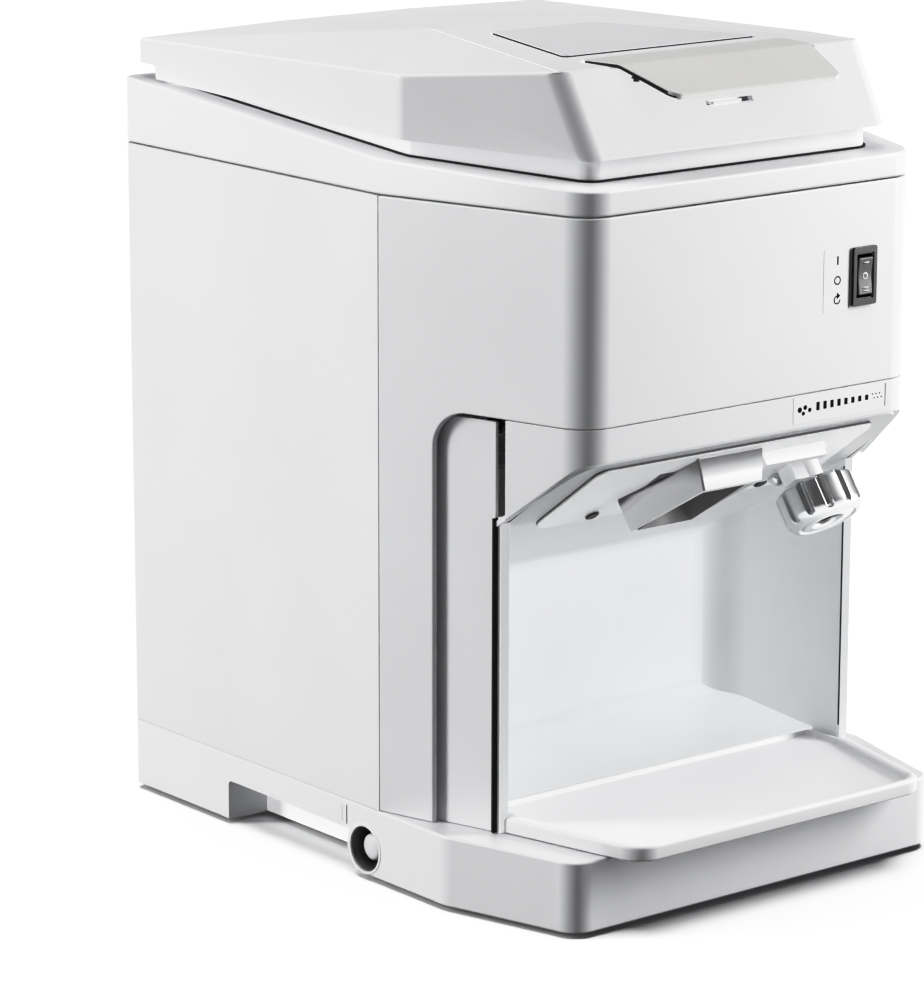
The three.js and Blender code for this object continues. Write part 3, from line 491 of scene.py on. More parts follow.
def make_drains():
    pocket, radius = HALF - CARRY["depth"], DRAIN["radius"]
    for side, sign in SIDES:
        def place(u, v, w, sign=sign):
            return at(sign * w, DRAIN["f"] + u, DRAIN["z"] + v)
        cap = turned([(0, 135.2), (3.2, 135.2), (3.2, 142.3), (6.6, 142.3), (7.3, 142.7), (7.4, 143.4),
                      (7.1, 145.0), (6.2, 145.8), (4.6, 146.2), (2.2, 146.4), (0, 146.45)], place, 48)
        publish(cap, f"drain_cap_{side}", f"drain_plug_{side}")
        # A dark grey tube inside each drain outlet: painted shade in the hole round the cap.
        drain_shade_tube = tube(radius - 0.02, radius - 0.4, HALF - DRAIN["depth"] + 0.1, HALF - 0.9, place, 56)
        publish(clean(drain_shade_tube), f"{side}_drain_wall", body="housing", slot="liner_white", finish=ROCKER_GREY_AND_PAINTED_SHADE)
        # Black rubber fills the slit behind the drain: painted shade in the slit.
        slit_shade_strip = box((sign * (HALF - 1.7), sign * (HALF - 0.7)), (201.85, 202.75), (27.7, 38.1))
        publish(slit_shade_strip, f"{side}_slit_seal", body="housing", slot="rubber_black")
        backing = box((sign * (pocket + 0.02), sign * (pocket + 0.5)),
                      (CARRY["near"] + 0.1, CARRY["far"] - 7), (FOOT + 0.3, CARRY["top"] - 0.1))
        publish(backing, f"{side}_carry_backing", body="housing", slot="shell_white")
        polish(f"drain_spout_{side}", 0.3)


# ---------------------------------------------------------------- body
def body_shell(low, high, inset=0.0, thick=WALL):
    return cut(upright(body_outline(inset), low, high),
               upright(body_outline(inset + thick), low - 1, high + 1))


def make_panels():
    seam = TAPER_START - GAP / 2
    for side, sign in SIDES:
        keep = box((sign * (BACK_HALF + GAP), sign * (HALF + 1)), (-1, seam), (0, HEIGHT))
        panel = meet(body_shell(PANEL_FOOT, PANEL_HEAD), keep)
        publish(soften(panel, 0.7, 3, 40), f"{side}_panel_moulding", f"{side}_side_panel")
    back = upright(rectangle(0, WALL / 2, 2 * BACK_HALF, WALL), PANEL_FOOT, PANEL_HEAD)
    low, high = HOOD["low"], HOOD["high"]
    window = rectangle(0, (low + high) / 2, 2 * HOOD["half"] - 32, high - low - 52, 4)
    cut(back, forward(window, -1, WALL + 1))
    cut(back, forward(rectangle(INLET["x"], INLET["z"], 30, 22, 1), -1, WALL + 1))
    publish(soften(back, 0.7, 3, 40), "back_panel_moulding", "back_panel")

    cowl = meet(body_shell(PANEL_FOOT, PANEL_HEAD),
                box((-HALF - 1, HALF + 1), (seam + GAP, FRONT_F + 1), (0, HEIGHT)))
    leg, ahead = 264.8, FRONT_F + 10
    notch = rounded([(leg, 0), (ahead, 0), (ahead, COWL_BOTTOM), (leg, COWL_BOTTOM, 20)], 16)
    cut(cowl, across(notch, -HALF - 1, HALF + 1))
    cut(cowl, forward(rectangle(SWITCH["x"], SWITCH["z"], 14, 26, 1), FRONT_F - 5, FRONT_F + 1))
    publish(soften(cowl, 0.9, 4, 40), "front_cowl_moulding", "front_cowl")

    top = COWL_BOTTOM - GAP
    cheeks = [(308.5, top), (308.5, NOSE_FOOT), (350, 245.8), (FRONT_F + 1, 248.3), (FRONT_F + 1, top)]
    fascia = meet(body_shell(NOSE_FOOT, top), across(cheeks, -HALF, HALF))
    publish(soften(fascia, 0.9, 4, 24), "nose_moulding", "nose_fascia")

    # Plates beside the bay, with black strips painted as shade where they and the bay's walls meet the
    # flanges
    for side, sign in SIDES:
        plate = meet(body_shell(PANEL_FOOT, COWL_BOTTOM - 3, 5.4, 1.8),
                     box((sign * 60, sign * (HALF + 1)), (248, 298.0), (0, HEIGHT)))
        # The recess plates take the lighter shell white instead of their own darker white: painted light
        # that makes up for the shade they sit in.
        publish(soften(plate, 0.5, 2, 40), f"{side}_recess_moulding", f"{side}_recess_plate",
                finish=MATERIAL["shell_white"])
        flange_shade_strip = box((sign * (FLANGE_HALF - 4), sign * (FLANGE_HALF - 0.4)), (298.1, 299.7),
                    (PANEL_FOOT + 0.3, NOSE_FOOT - 1))
        publish(flange_shade_strip, f"{side}_flange_seal", body="housing", slot="rubber_black")
        # A thin black line down each bay wall's front edge: painted shade where the wall meets the flange.
        wall_shade_line = box((sign * (BAY_HALF - 0.12), sign * (BAY_HALF + 1)),
                        (FLANGE_F - 1.3, FLANGE_F - 0.25), (57, 205))
        publish(wall_shade_line, f"{side}_wall_seal", body="housing", slot="rubber_black")


def make_bay():
    liner_and_bore_shade, roof, sill = 2.5, FACE_F - 1, 280.7
    knee, flange_back = 297, FLANGE_F - liner_and_bore_shade
    floor_front, floor_rear, wall_top = 51, 57.4, 155
    above = liner_and_bore_shade * 1.25
    cavity_side = rounded([
        (sill, floor_front), (BAY_BACK, floor_rear, 10), (BAY_BACK, wall_top, 12), (knee, face_z(knee), 30),
        (roof, face_z(roof)), (roof + 40, face_z(roof)), (roof + 40, BASE_TOP), (sill, BASE_TOP)], 12)
    liner_side = rounded([
        (sill, floor_front - liner_and_bore_shade), (BAY_BACK - liner_and_bore_shade, floor_rear - liner_and_bore_shade, 12),
        (BAY_BACK - liner_and_bore_shade, wall_top + liner_and_bore_shade, 14),
        (knee, face_z(knee) + above, 30), (roof, face_z(roof) + above), (roof, face_z(roof) - 0.01),
        (flange_back, face_z(flange_back) - 0.01), (flange_back, 50), (sill, 50)], 12)
    # The cavity's back corners are moulded to a wide radius.
    plan = rounded(mirrored([(BAY_HALF, 420), (BAY_HALF, BAY_BACK - 0.01, 22)]), 14)
    cavity = meet(across(cavity_side, -BAY_HALF, BAY_HALF), upright(plan, 0, HEIGHT))
    walls = cut(across(liner_side, -BAY_HALF - liner_and_bore_shade, BAY_HALF + liner_and_bore_shade), cavity)
    # The ceiling is as wide as the nose, from here forward.
    wide = 300
    ceiling = across([(wide, face_z(wide)), (roof, face_z(roof)), (roof, face_z(roof) + above),
                      (wide, face_z(wide) + above)], -HALF, HALF)
    bay = meet(join(walls, ceiling), upright(body_outline(WALL + 0.5), 0, HEIGHT))
    for _, sign in SIDES:
        join(bay, box((sign * (BAY_HALF + 0.01), sign * (FLANGE_HALF - 3)), (flange_back, FLANGE_F),
                      (PANEL_FOOT, NOSE_FOOT - GAP)))
        join(bay, box((sign * BAY_HALF, sign * (BAY_HALF + liner_and_bore_shade)), (BAY_BACK, FLANGE_F - liner_and_bore_shade / 2),
                      (PANEL_FOOT, floor_rear)))
    cut(bay, throat(2, -6, 12), head_prism(circle(KNOB["x"], KNOB["y"], 5), -6, 12))
    publish(soften(bay, 0.7, 3, 35), "bay_moulding", "bay_liner")


def make_tray():
    low, top, floor = BASE_TOP + 0.4, 50.7, BASE_TOP + 3.4

    def ring(inset, z):
        # The rim's inner edge runs straight past the step beside the flanges, and the floor rises behind.
        shoulder = 122.6 - inset - min(3.6, 1.3 * max(0, inset - 1.2))
        sunk = min(1.0, max(0.0, (inset - 2.5) / 5))
        outline = rounded(mirrored([
            (118.5 - inset, 281.0 + inset * 0.7, 3), (118.5 - inset, FLANGE_F + GAP + inset * 0.6, 0.2),
            (shoulder, FLANGE_F + GAP + inset * 0.6, 0.2), (102 - inset, 388 - inset, 16 - inset)]), 12)
        return [at(x, f, z + 3.9 * sunk * max(0, 1 - (f - 284) / 60)) for x, f in outline]

    # Outer wall, rolled rim, and a soft step down to the floor
    profile = [(6, low), (1.2, low), (0.35, low + 0.35), (0, low + 1.2), (0, top - 2.2), (0.3, top - 1.1),
               (1.0, top - 0.35), (2.0, top), (3.0, top - 0.05), (3.9, top - 0.5), (4.6, top - 1.4),
               (5.2, floor + 2.2), (5.9, floor + 1.1), (7.0, floor + 0.4), (8.6, floor + 0.05), (11, floor)]
    publish(loft([ring(inset, z) for inset, z in profile]), "tray_moulding", "drip_tray")


# ---------------------------------------------------------------- blade head
# Corners of the skewed duct: at its mouth, at the slanted face, and the step to its inner corner
CHUTE = (
    ((-44.6, 312, 195), (-52.6, 308.6, 214), (3.6, 2)),
    ((-23.6, 345, 220), (-28.6, 345, 240.2), (1.1, -2)),
    ((17.9, 345, 220), (17.9, 345, 240.2), (-3.6, -2)),
    ((-2.5, 312, 195), (-4.6, 308.6, 214), (-1.1, 2)),
)
CHUTE_GUSSET = ((-56.5, 313.4, 217.6), (-48.9, 310.2, 205.2))
NUT = (59, 11.5)
COVER_SCREW = (60, 26)


def along(corner, t):
    """Point on a corner of the duct: 0 at the mouth, 1 at the slanted face."""
    return tuple(a + (b - a) * t for a, b in zip(corner[0], corner[1]))


def inside(corner, t, share=1.0):
    """The same on the duct's inner corner; a share over 1 lies further in."""
    x, f, z = along(corner, t)
    return (x + corner[2][0] * share, f + corner[2][1] * share, z)


def duct_hull(corner_point, *ends):
    return hull([corner_point(corner, t) for corner in CHUTE for t in ends])


def make_chute():
    rear, front = CHUTE[:2]
    gusset = hull([*CHUTE_GUSSET, rear[1], front[1], inside(rear, 1), inside(rear, 0.5), inside(front, 1)])
    # The duct ends just under the cover plate.
    lift, back, ahead = 2.3 / math.cos(FACE_TILT), 290, 360
    below = across([(back, 150), (ahead, 150), (ahead, face_z(ahead) - lift), (back, face_z(back) - lift)],
                   -HALF, HALF)
    duct = join(duct_hull(along, 0, 1.2), gusset)
    bore = duct_hull(inside, 0.04, 1.6)
    meet(cut(duct, duct_hull(inside, -0.3, 1.6)), copied(below))
    publish(soften(duct, 0.6, 3, 14), "chute_moulding", "discharge_chute")
    # A dark grey strip along the duct's front left corner: painted shade on that edge.
    edge_shade_strip = hull([(x + dx, f + df, z) for x, f, z in front[:2] for dx in (-0.05, 1.5) for df in (-1, 0.12)])
    publish(edge_shade_strip, "chute_edge_groove", body="housing", slot="liner_white", finish=ROCKER_GREY_AND_PAINTED_SHADE)
    # A mid grey skin inside the duct: painted shade on its inner walls.
    narrow = duct_hull(lambda corner, t: inside(corner, t, 1.25), -0.3, 1.8)
    bore_shade = clean(meet(cut(bore, narrow), below))
    publish(bore_shade, "chute_lining", body="housing", slot="liner_white", finish=SHADED)


def cross_recess(obj, place, size, low, high):
    for w, h in ((size, size * 0.24), (size * 0.24, size)):
        points = rectangle(0, 0, w, h)
        cut(obj, loft([[place(u, v, z) for u, v in points] for z in (low, high)]))


def make_head():
    def plate_outline(grow):
        u, low, high = 97 + grow, -36 - grow, 34 + grow
        rear, front = 12 + grow, 6 + grow
        return rounded([(-u, low, front), (u, low, front), (u, high, rear), (-u, high, rear)])

    plate = head_prism(plate_outline(0), -1.9, -GAP)
    # A mid grey outline round the cover plate: painted shade in the gap round its edge.
    painted_shade_band = cut(head_prism(plate_outline(0.25), -1.0, -0.05), head_prism(plate_outline(-3), -5, 5))
    publish(painted_shade_band, "cover_plate_seal", body="housing", slot="liner_white", finish=SHADED)
    cut(plate, throat(0, -5, 5), head_prism(circle(KNOB["x"], KNOB["y"], 5), -5, 5))
    screw_x, screw_y = COVER_SCREW
    for _, sign in SIDES:
        cut(plate, head_prism(circle(sign * screw_x, screw_y, 2.3, 24), -5, 5))
    publish(soften(plate, 0.5, 3, 40), "cover_plate_sheet", "blade_cover_plate")
    for side, sign in SIDES:
        def place(u, v, w, sign=sign):
            return in_head(sign * screw_x + u, screw_y + v, w)
        screw = turned([(0, -0.5), (1.9, -0.5), (1.9, -2.2), (3.7, -2.2), (4.0, -2.5), (3.8, -3.1),
                        (2.9, -3.5), (0, -3.6)], place, 36)
        cross_recess(screw, place, 3.6, -4, -2.6)
        publish(screw, f"cover_screw_head_{side}", f"cover_screw_{side}")

    make_chute()

    x, y = KNOB["x"], KNOB["y"]
    sheet = rounded([(22, -25, 1), (66, -25, 1), (80, -12, 4), (80, 12, 8), (54, 18, 6), (22, 12, 4)])
    bracket = join(head_box((22, 66), (-25, -20), (-10, -2.2)), head_prism(sheet, -4.6, -2.2))
    cut(bracket, head_prism(circle(x, y, 5), -20, 5), head_prism(circle(*NUT, 2.5, 24), -20, 5))
    publish(soften(bracket, 0.6, 3, 40), "bracket_moulding", "adjuster_bracket")

    def nut_place(u, v, w):
        return in_head(NUT[0] + u, NUT[1] + v, w)

    def hexagonal(a, r, w):
        return r * (1 - 0.07 * (0.5 + 0.5 * math.cos(6 * a))) if w > -7.3 else r
    nut = turned([(0, -10.6), (1.6, -10.3), (3.0, -9.4), (4.0, -8.0), (4.2, -7.4), (4.9, -7.1), (5.0, -5.2),
                  (4.7, -4.9), (0, -4.9)], nut_place, 48, hexagonal)
    publish(nut, "dome_nut_plated", "bracket_dome_nut")

    sleeve = head_prism(circle(x, y, 8, 56), KNOB["root"] + GAP, -4.9)
    join(sleeve, head_box((x - 15, x - 4), (y - 6, y + 5), (KNOB["root"] + 3, -4.9)))
    cut(sleeve, head_prism(circle(x, y, 4.2, 32), -30, 0))
    publish(soften(sleeve, 0.8, 3, 40), "sleeve_moulding", "adjuster_sleeve")


def make_knob():
    ribs, depth, half_width = 12, 2.1, math.radians(5.8)
    inner, near_end, far_end, run_out = 19, -0.9, -19.0, 2.0

    def place(u, v, w):
        return in_head(KNOB["x"] + u, KNOB["y"] + v, KNOB["root"] + w)

    def fluted(a, r, w):
        """Grooves between the ribs, which run out at the rim."""
        off = abs((a + math.pi / ribs) % (2 * math.pi / ribs) - math.pi / ribs)
        if off > half_width or r < inner or w > near_end:
            return r
        fade = min(1.0, max(0.0, (w - far_end) / run_out))
        return r - depth * fade ** 0.5 * math.cos(off / half_width * math.pi / 2) ** 0.7

    # Grip, rounded rim, thin groove, flat ring and the sunk middle
    sides = [(22.0, -2.2 - 0.9 * k) for k in range(15)]
    profile = [(0, 0), (17.5, 0), (20.4, -0.3), (21.5, -1.0), *sides, (22.0, -15.6), (21.9, -16.4),
               (21.7, -17.2), (21.3, -18.2), (20.7, -19.2), (19.8, -20.3), (18.8, -21.1), (17.8, -21.55),
               (16.9, -21.6), (16.3, -21.4), (15.9, -20.7), (15.0, -20.5), (14.4, -21.0), (13.8, -21.5),
               (13.0, -21.75), (9.8, -21.75), (8.6, -21.5), (7.7, -20.8), (7.3, -19.6), (7.0, -14.4),
               (6.6, -13.9), (0, -13.7)]
    grip = cut(turned(profile, place, 300, fluted), turned([(3.8, -15), (3.8, 1)], place, 64))
    publish(clean(grip), "knob_plated", "adjust_knob")
    # A black tube in the knob's sunk middle: painted shade in its bore.
    liner_and_bore_shade = tube(6.95, 5.6, -19.0, -14.5, place)
    publish(clean(liner_and_bore_shade), "knob_bore_liner", body=BODY_OF["adjust_knob"], slot="plated_grip",
            finish=MATERIAL["black_plastic"])
    polish("adjust_screw", 0.3)


# ---------------------------------------------------------------- hopper and lid
def lid_bottom(f):
    """Height of the lid's lower edge."""
    rear, knee, front = (23, 411), (LID_KNEE, 403.6), (LID_CORNER[1], 401)
    a, b = (rear, knee) if f < LID_KNEE else (knee, front)
    return a[1] + (b[1] - a[1]) * (f - a[0]) / (b[0] - a[0])


def rim_profile(drop, far):
    return [(-1, RIM_BACK - drop), (TAPER_START, RIM_MID - drop), (FRONT_F + 1, RIM_FRONT - drop),
            (FRONT_F + 1, far), (-1, far)]


def coaming_outline(inset):
    return rounded(mirrored([(134 - inset, 31 + inset, 8), (134 - inset, LID_KNEE - 2, 4),
                             (96.5 - inset, 337 - inset, 11 - inset)]), 10)


def make_collar():
    rim = cut(upright(body_outline(), COLLAR_SEAM + GAP, 418),
              across(rim_profile(0, HEIGHT), -HALF - 1, HALF + 1))
    soften(rim, 1.6, 4, 30)
    pocket = meet(upright(body_outline(WALL), COLLAR_SEAM - 1, 418),
                  across(rim_profile(WALL, COLLAR_SEAM - 2), -HALF, HALF))
    cut(rim, pocket, upright(coaming_outline(0), COLLAR_SEAM - 1, HEIGHT))
    lip = 4
    coaming = cut(upright(coaming_outline(0), RIM_FRONT - 8, 420),
                  upright(coaming_outline(2.5), COLLAR_SEAM - 1, HEIGHT))
    meet(coaming, across([(-1, lid_bottom(30) + lip), (LID_KNEE, lid_bottom(LID_KNEE) + lip),
                          (FRONT_F, lid_bottom(346) + lip), (FRONT_F, RIM_FRONT - WALL),
                          (TAPER_START, RIM_MID - WALL), (-1, RIM_BACK - WALL)], -HALF, HALF))
    join(rim, coaming)
    cut(rim, upright(circle(141.5, 200, 1.7, 20), COLLAR_SEAM, HEIGHT))
    publish(soften(rim, 0.5, 2, 40), "collar_moulding", "hopper_collar")

    # Black strip in the corner between the rim and the coaming, painted shade under the lid's edge
    painted_shade_band = cut(upright(coaming_outline(-1.1), 380, 420), upright(coaming_outline(-0.02), 370, 430))
    meet(painted_shade_band, across([(-1, RIM_BACK - 0.1), (TAPER_START, RIM_MID - 0.1), (FRONT_F + 1, RIM_FRONT - 0.1),
                       (FRONT_F + 1, RIM_FRONT + 1.1), (TAPER_START, RIM_MID + 1.1), (-1, RIM_BACK + 1.1)],
                      -HALF, HALF))
    publish(soften(painted_shade_band, 0.3, 2, 40), "coaming_seal", body="housing", slot="rubber_black")


def lid_block(inset, low):
    corners = []
    for _, sign in SIDES:
        corners += [
            (sign * (LID_HALF - inset), LID_REAR + inset, 432 - inset),
            (sign * (LID_HALF - inset), LID_KNEE, 437 - inset),
            (sign * (104.5 - inset), 322 - inset, LID_TOP - inset),
            (sign * 49, 145.5, LID_TOP - inset),
            (sign * 46, LID_REAR + inset, 434 - inset),
            (sign * (LID_HALF - inset), LID_REAR + inset, low),
            (sign * (LID_HALF - inset), LID_KNEE, low),
            (sign * (LID_CORNER[0] - inset * 0.8), LID_CORNER[1] - inset, 401),
            (sign * (LID_CORNER[0] - inset * 0.8), LID_CORNER[1] - inset, low),
        ]
    return hull(corners)


def lid_edge(middle, direction):
    """How far one edge of the lid is rounded, as a share of the widest rounding."""
    upright_edge = abs(direction.z) > 0.6
    f = BACK_Y - middle.y
    if upright_edge and f > 320:
        return 1.0
    if upright_edge:
        return 0.4
    if middle.z < 395:
        return 0
    return 0.2


def make_lid():
    low = 385
    shell = soften(lid_block(0, low), 8, 6, 3, lid_edge)
    behind = across([(0, low), (26, low), (26, 411), (24, 420.7), (0, 420.7)], -HALF, HALF)
    cut(shell, cut(lid_block(WALL, low - 2), behind))
    cut(shell, across([(4, 418.7), (21, 418.2), (23, 411), (LID_KNEE, lid_bottom(LID_KNEE)),
                       (347, lid_bottom(346)), (347, low - 1), (4, low - 1)], -HALF, HALF))
    seat = rounded(mirrored([(36.9, 183.2, 3), (68.1, 281.8, 3)]), 6)
    cut(shell, upright(seat, LID_TOP - 1.6, HEIGHT + 1))
    cut(shell, box((-71, 71), (297.7, FRONT_F), (442.7, HEIGHT + 1)))
    cut(shell, box((-16, 16), (325, 350), (420.2, 423)))
    for _, sign in SIDES:
        crease = [(103.2, 318.5), (49.6, 148), (48.7, 148), (102.3, 318.5)]
        cut(shell, upright([(sign * x, f) for x, f in crease], LID_TOP - 0.4, HEIGHT + 1))
    publish(soften(shell, 0.45, 3, 32), "lid_moulding", "lid")
    outline = rounded(mirrored([(36, 184, 3), (67, 281, 3)]), 6)
    publish(soften(upright(outline, LID_TOP + 0.5, LID_TOP + 0.9), 0.15, 2, 40), "inlay_plate", "lid_inlay")
    # A black frame under the inlay's edge: painted shade round the raised inlay.
    painted_shade_band = upright(outline, LID_TOP - 1.3, LID_TOP + 0.5)
    publish(soften(painted_shade_band, 0.2, 2, 40), "inlay_seal", body="lid_assembly", slot="rubber_black")


def make_handle():
    """Bent plate with a short return along its front edge, a black pad under it that is painted shade, its
    screws, and the latch's tongue.
    """
    rear, bend, front, lip, sheet, turn_down = 298, 324, 358, 432.5, 1.1, 2.6
    side = rounded([(rear, HEIGHT), (bend, HEIGHT, 10), (front, lip, 1.2),
                    (front - 0.3, lip - turn_down, 0.4), (front - 1.4, lip - turn_down, 0.4),
                    (front - 1.6, lip - sheet, 0.5),
                    (bend - 0.4, HEIGHT - sheet, 9), (rear, HEIGHT - sheet)], 8)
    plan = rounded(mirrored([(70, rear, 1.5), (66, bend, 5), (57.5, front, 8)]), 10)
    handle = meet(across(side, -HALF, HALF), upright(plan, 400, HEIGHT + 1))
    publish(soften(handle, 0.4, 3, 40), "handle_plate", "lid_handle")
    # A black pad under the plate: painted shade along the handle's left edge.
    under = across(rounded([(rear + 2, 444.7), (bend - 1, 444.7, 10), (front - 1.8, lip + 0.2),
                            (front - 1.8, lip - sheet - 1.0), (bend - 0.4, HEIGHT - sheet - 1.0, 8),
                            (rear + 2, HEIGHT - sheet - 0.1)]), -HALF, HALF)
    trim_plan = rounded(mirrored([(70.1, rear + 2, 1.5), (66.2, bend, 5), (57.7, front - 0.5, 8)]), 10)
    handle_shade_pad = meet(under, upright(trim_plan, 400, HEIGHT + 1))
    publish(soften(handle_shade_pad, 0.2, 2, 40), "handle_pad", body="lid_assembly", slot="rubber_black")
    screw_x, screw_f = 60, 330
    for side_name, sign in SIDES:
        def place(u, v, w, sign=sign):
            return at(sign * screw_x + u, screw_f + v, w)
        screw = turned([(0, 436.5), (1.6, 436.5), (1.6, 438.0), (2.6, 438.1), (2.6, 438.6), (2.1, 439.1),
                        (0, 439.3)], place, 32)
        publish(screw, f"handle_screw_head_{side_name}", f"handle_screw_{side_name}")
    tongue = box((-12, 8), (327, 335.2), (420.7, 422.5))
    publish(soften(tongue, 0.5, 3, 40), "latch_blade", "latch_tongue")


# ---------------------------------------------------------------- switch, labels and rear
def make_switch():
    x, z = SWITCH["x"], SWITCH["z"]
    bezel = forward(rectangle(x, z, SWITCH["width"], SWITCH["height"], 1.2), FRONT_F + GAP, FRONT_F + 2)
    join(bezel, forward(rectangle(x, z, 13.4, 25.4), FRONT_F - 22, FRONT_F + 1))
    cut(bezel, forward(rectangle(x, z, 12.2, 24.6, 0.8), FRONT_F + 1.2, FRONT_F + 5))
    cut(bezel, forward(rectangle(x, z, 10.8, 23.2, 0.6), FRONT_F - 12, FRONT_F + 5))
    # The ledge inside is 0.7 mm wide, so a larger rounding would swallow it.
    publish(soften(bezel, 0.2, 3, 40), "switch_frame", "switch_bezel")

    f = FRONT_F
    profile = rounded([(f - 8, z - 8), (f + 2.6, z - 10.2, 0.8), (f + 1.4, z, 30), (f + 2.6, z + 10.2, 0.8),
                       (f - 8, z + 8)], 8)
    rocker = soften(across(profile, x - 5, x + 5), 0.6, 3, 40)
    publish(rocker, "rocker_cap", "power_rocker", finish=ROCKER_GREY_AND_PAINTED_SHADE)
    marks = [forward(rectangle(x, z + 7.2, 4.2, 0.9), f - 1, f + 2.4)]
    ring = cut(forward(circle(x, z, 1.9, 32), f - 1, f + 1.8), forward(circle(x, z, 1.2, 32), f - 2, f + 3))
    marks += [ring, forward(rectangle(x, z - 6.2, 4.2, 0.8), f - 1, f + 2.28)]
    marks += [forward(rectangle(x, z - 7.9, 4.2, 0.8), f - 1, f + 2.48)]
    publish(join(*marks), "rocker_marks", body="rocker", slot="label_film", finish=MARK)


def make_labels():
    """Films on the cowl and the nose, with plain marks in place of words."""
    f = FRONT_F
    face = (f + 0.02, f + 0.14)
    film = forward(rectangle(58.1, 324.25, 19.2, 33.5, 1.5), *face)
    publish(clean(film), "switch_label_film", "switch_label")
    print_face = (f + 0.08, f + 0.19)
    x, bar_z, ring_z, arc_z = 58.4, 334.6, 324.0, 313.6

    def ring(z):
        return cut(forward(circle(x, z, 2.4), *print_face), forward(circle(x, z, 1.7), f, f + 2))
    quarter = [(x, arc_z), (x + 4, arc_z), (x + 4, arc_z + 4), (x, arc_z + 4)]
    arrow = [(x - 0.2, arc_z + 4), (x - 0.2, arc_z + 0.2), (x + 2.2, arc_z + 2.1)]
    marks = [forward(rectangle(x, bar_z, 1.0, 4.6), *print_face), ring(ring_z)]
    marks += [cut(ring(arc_z), forward(quarter, f, f + 2)), forward(arrow, *print_face)]
    marks += [forward(rectangle(67.1, 324.25, 0.45, 31.5), *print_face)]
    publish(join(*marks), "switch_label_print", body="housing", slot="black_plastic", finish=INK)

    film = forward(rectangle(62.5, 257.55, 67.8, 14.7, 1.2), *face)
    publish(clean(film), "coarseness_label_film", "coarseness_label")
    marks = [forward(rectangle(95.4, 257.9, 0.5, 12.4), *print_face)]
    pitch, shrink = 5.07, 0.24
    for k in range(8):
        marks.append(forward(rectangle(46.3 + pitch * k, 258.1, 2.3, 4.5 - shrink * k, 0.2), *print_face))
    for dx, dz, r in ((0, 0, 1.5), (3.9, 0.9, 1.3), (2.6, -2.2, 1.1), (7.2, -0.8, 1.2)):
        marks.append(forward(circle(33.2 + dx, 257.6 + dz, r, 20), *print_face))
    for k in range(6):
        marks.append(forward(circle(86.0 + 1.3 * k, 258.2 + 1.1 * (-1) ** k, 0.45, 14), *print_face))
    publish(join(*marks), "coarseness_label_print", body="housing", slot="black_plastic", finish=INK)


def make_rear():
    half, low, high, slope, depth = HOOD.values()

    def block(inset, open_f):
        corners = []
        for _, sign in SIDES:
            corners += [(sign * (half - inset), open_f - GAP, z) for z in (low + inset, high - inset)]
            corners += [(sign * (half - slope - inset), inset - depth, z)
                        for z in (low + slope + inset, high - slope - inset)]
        return hull(corners)

    hood = cut(soften(block(0, 0), 3.5, 5, 20), block(2.5, 1))
    slots, pitch = 9, 19
    for k in range(slots):
        z = low + 44.5 + k * pitch
        cut(hood, forward(rectangle(0, z, 124, 5, 2.45), -depth - 1, -depth + 6))
        cut(hood, forward(rectangle(0, z, 130, 8, 3.9), -depth - 1, -depth + 0.7))
    publish(soften(hood, 0.35, 2, 40), "vent_hood_moulding", "rear_vent_hood")

    x, z = INLET["x"], INLET["z"]
    inlet = forward(rectangle(x, z, 40, 28, 4), -2.6, -GAP)
    join(inlet, forward(rectangle(x, z, 29.2, 21.2, 2), -1, 18))
    socket = rounded([(x - 12, z - 8, 1), (x + 12, z - 8, 1), (x + 12, z + 4.5), (x + 8.5, z + 8),
                      (x - 8.5, z + 8), (x - 12, z + 4.5)], 6)
    cut(inlet, forward(socket, -4, 15))
    publish(soften(inlet, 0.4, 3, 40), "inlet_body", "power_inlet")
    spots = ((-7, -1.5), (7, -1.5), (0, 2.0))
    pins = [forward(rectangle(x + dx, z + dz, 2, 4), 1.5, 15.5) for dx, dz in spots]
    publish(soften(join(*pins), 0.4, 2, 40), "inlet_pins", body="housing", slot="steel")


# Hidden pieces by the rounding of their edges; rounding would leave faces without area on the paddles.
POLISHED = {
    0: ("rotor_paddles",),
    0.4: ("shaft_bearing", "rotor_shaft", "blade_disc", "shaving_blade", "hinge_base_left",
          "hinge_base_right", "hinge_leaf_left", "hinge_leaf_right", "interlock_pin", "hinge_pin_left",
          "hinge_pin_right"),
    0.8: ("drum_casing", "blade_carrier", "driven_pulley", "motor_pulley", "drive_motor", "motor_bracket",
          "drive_belt", "ice_bin"),
}


# ---------------------------------------------------------------- stage
LID_PIECES = ("lid_moulding", "inlay_plate", "handle_plate", "latch_blade")
HEAD_PIECES = ("chute_moulding", "cover_plate_sheet", "bracket_moulding", "sleeve_moulding")
MIDDLE = (0, 0, 0.2)


def aimed(target, azimuth, elevation, distance):
    """Pose of a lamp or the camera; azimuth 0 is in front of the machine, 90 to its right."""
    a, e = math.radians(azimuth), math.radians(elevation)
    back = Vector((math.sin(a) * math.cos(e), -math.cos(a) * math.cos(e), math.sin(e)))
    return (Matrix.Translation(Vector(target) + back * distance)
            @ back.to_track_quat("Z", "Y").to_matrix().to_4x4())


def area_light(name, azimuth, elevation, distance, size, power, target=MIDDLE):
    """A soft panel that faces the target."""
    lamp = bpy.data.lights.new(name, "AREA")
    lamp.shape = "RECTANGLE"
    lamp.size, lamp.size_y = size
    lamp.energy = power
    obj = bpy.data.objects.new(name, lamp)
    obj.matrix_world = aimed(target, azimuth, elevation, distance)
    bpy.context.scene.collection.objects.link(obj)
    return obj


def light_only(lamp, names, shadows=True):
    """The lamp lights these pieces and no others; without shadows it isn't mirrored in them either."""
    lit = bpy.data.collections.new(lamp.name + "_lit")
    for name in names:
        lit.objects.link(bpy.data.objects[name])
    lamp.light_linking.receiver_collection = lit
    lamp.data.use_shadow = shadows
    lamp.visible_glossy = shadows


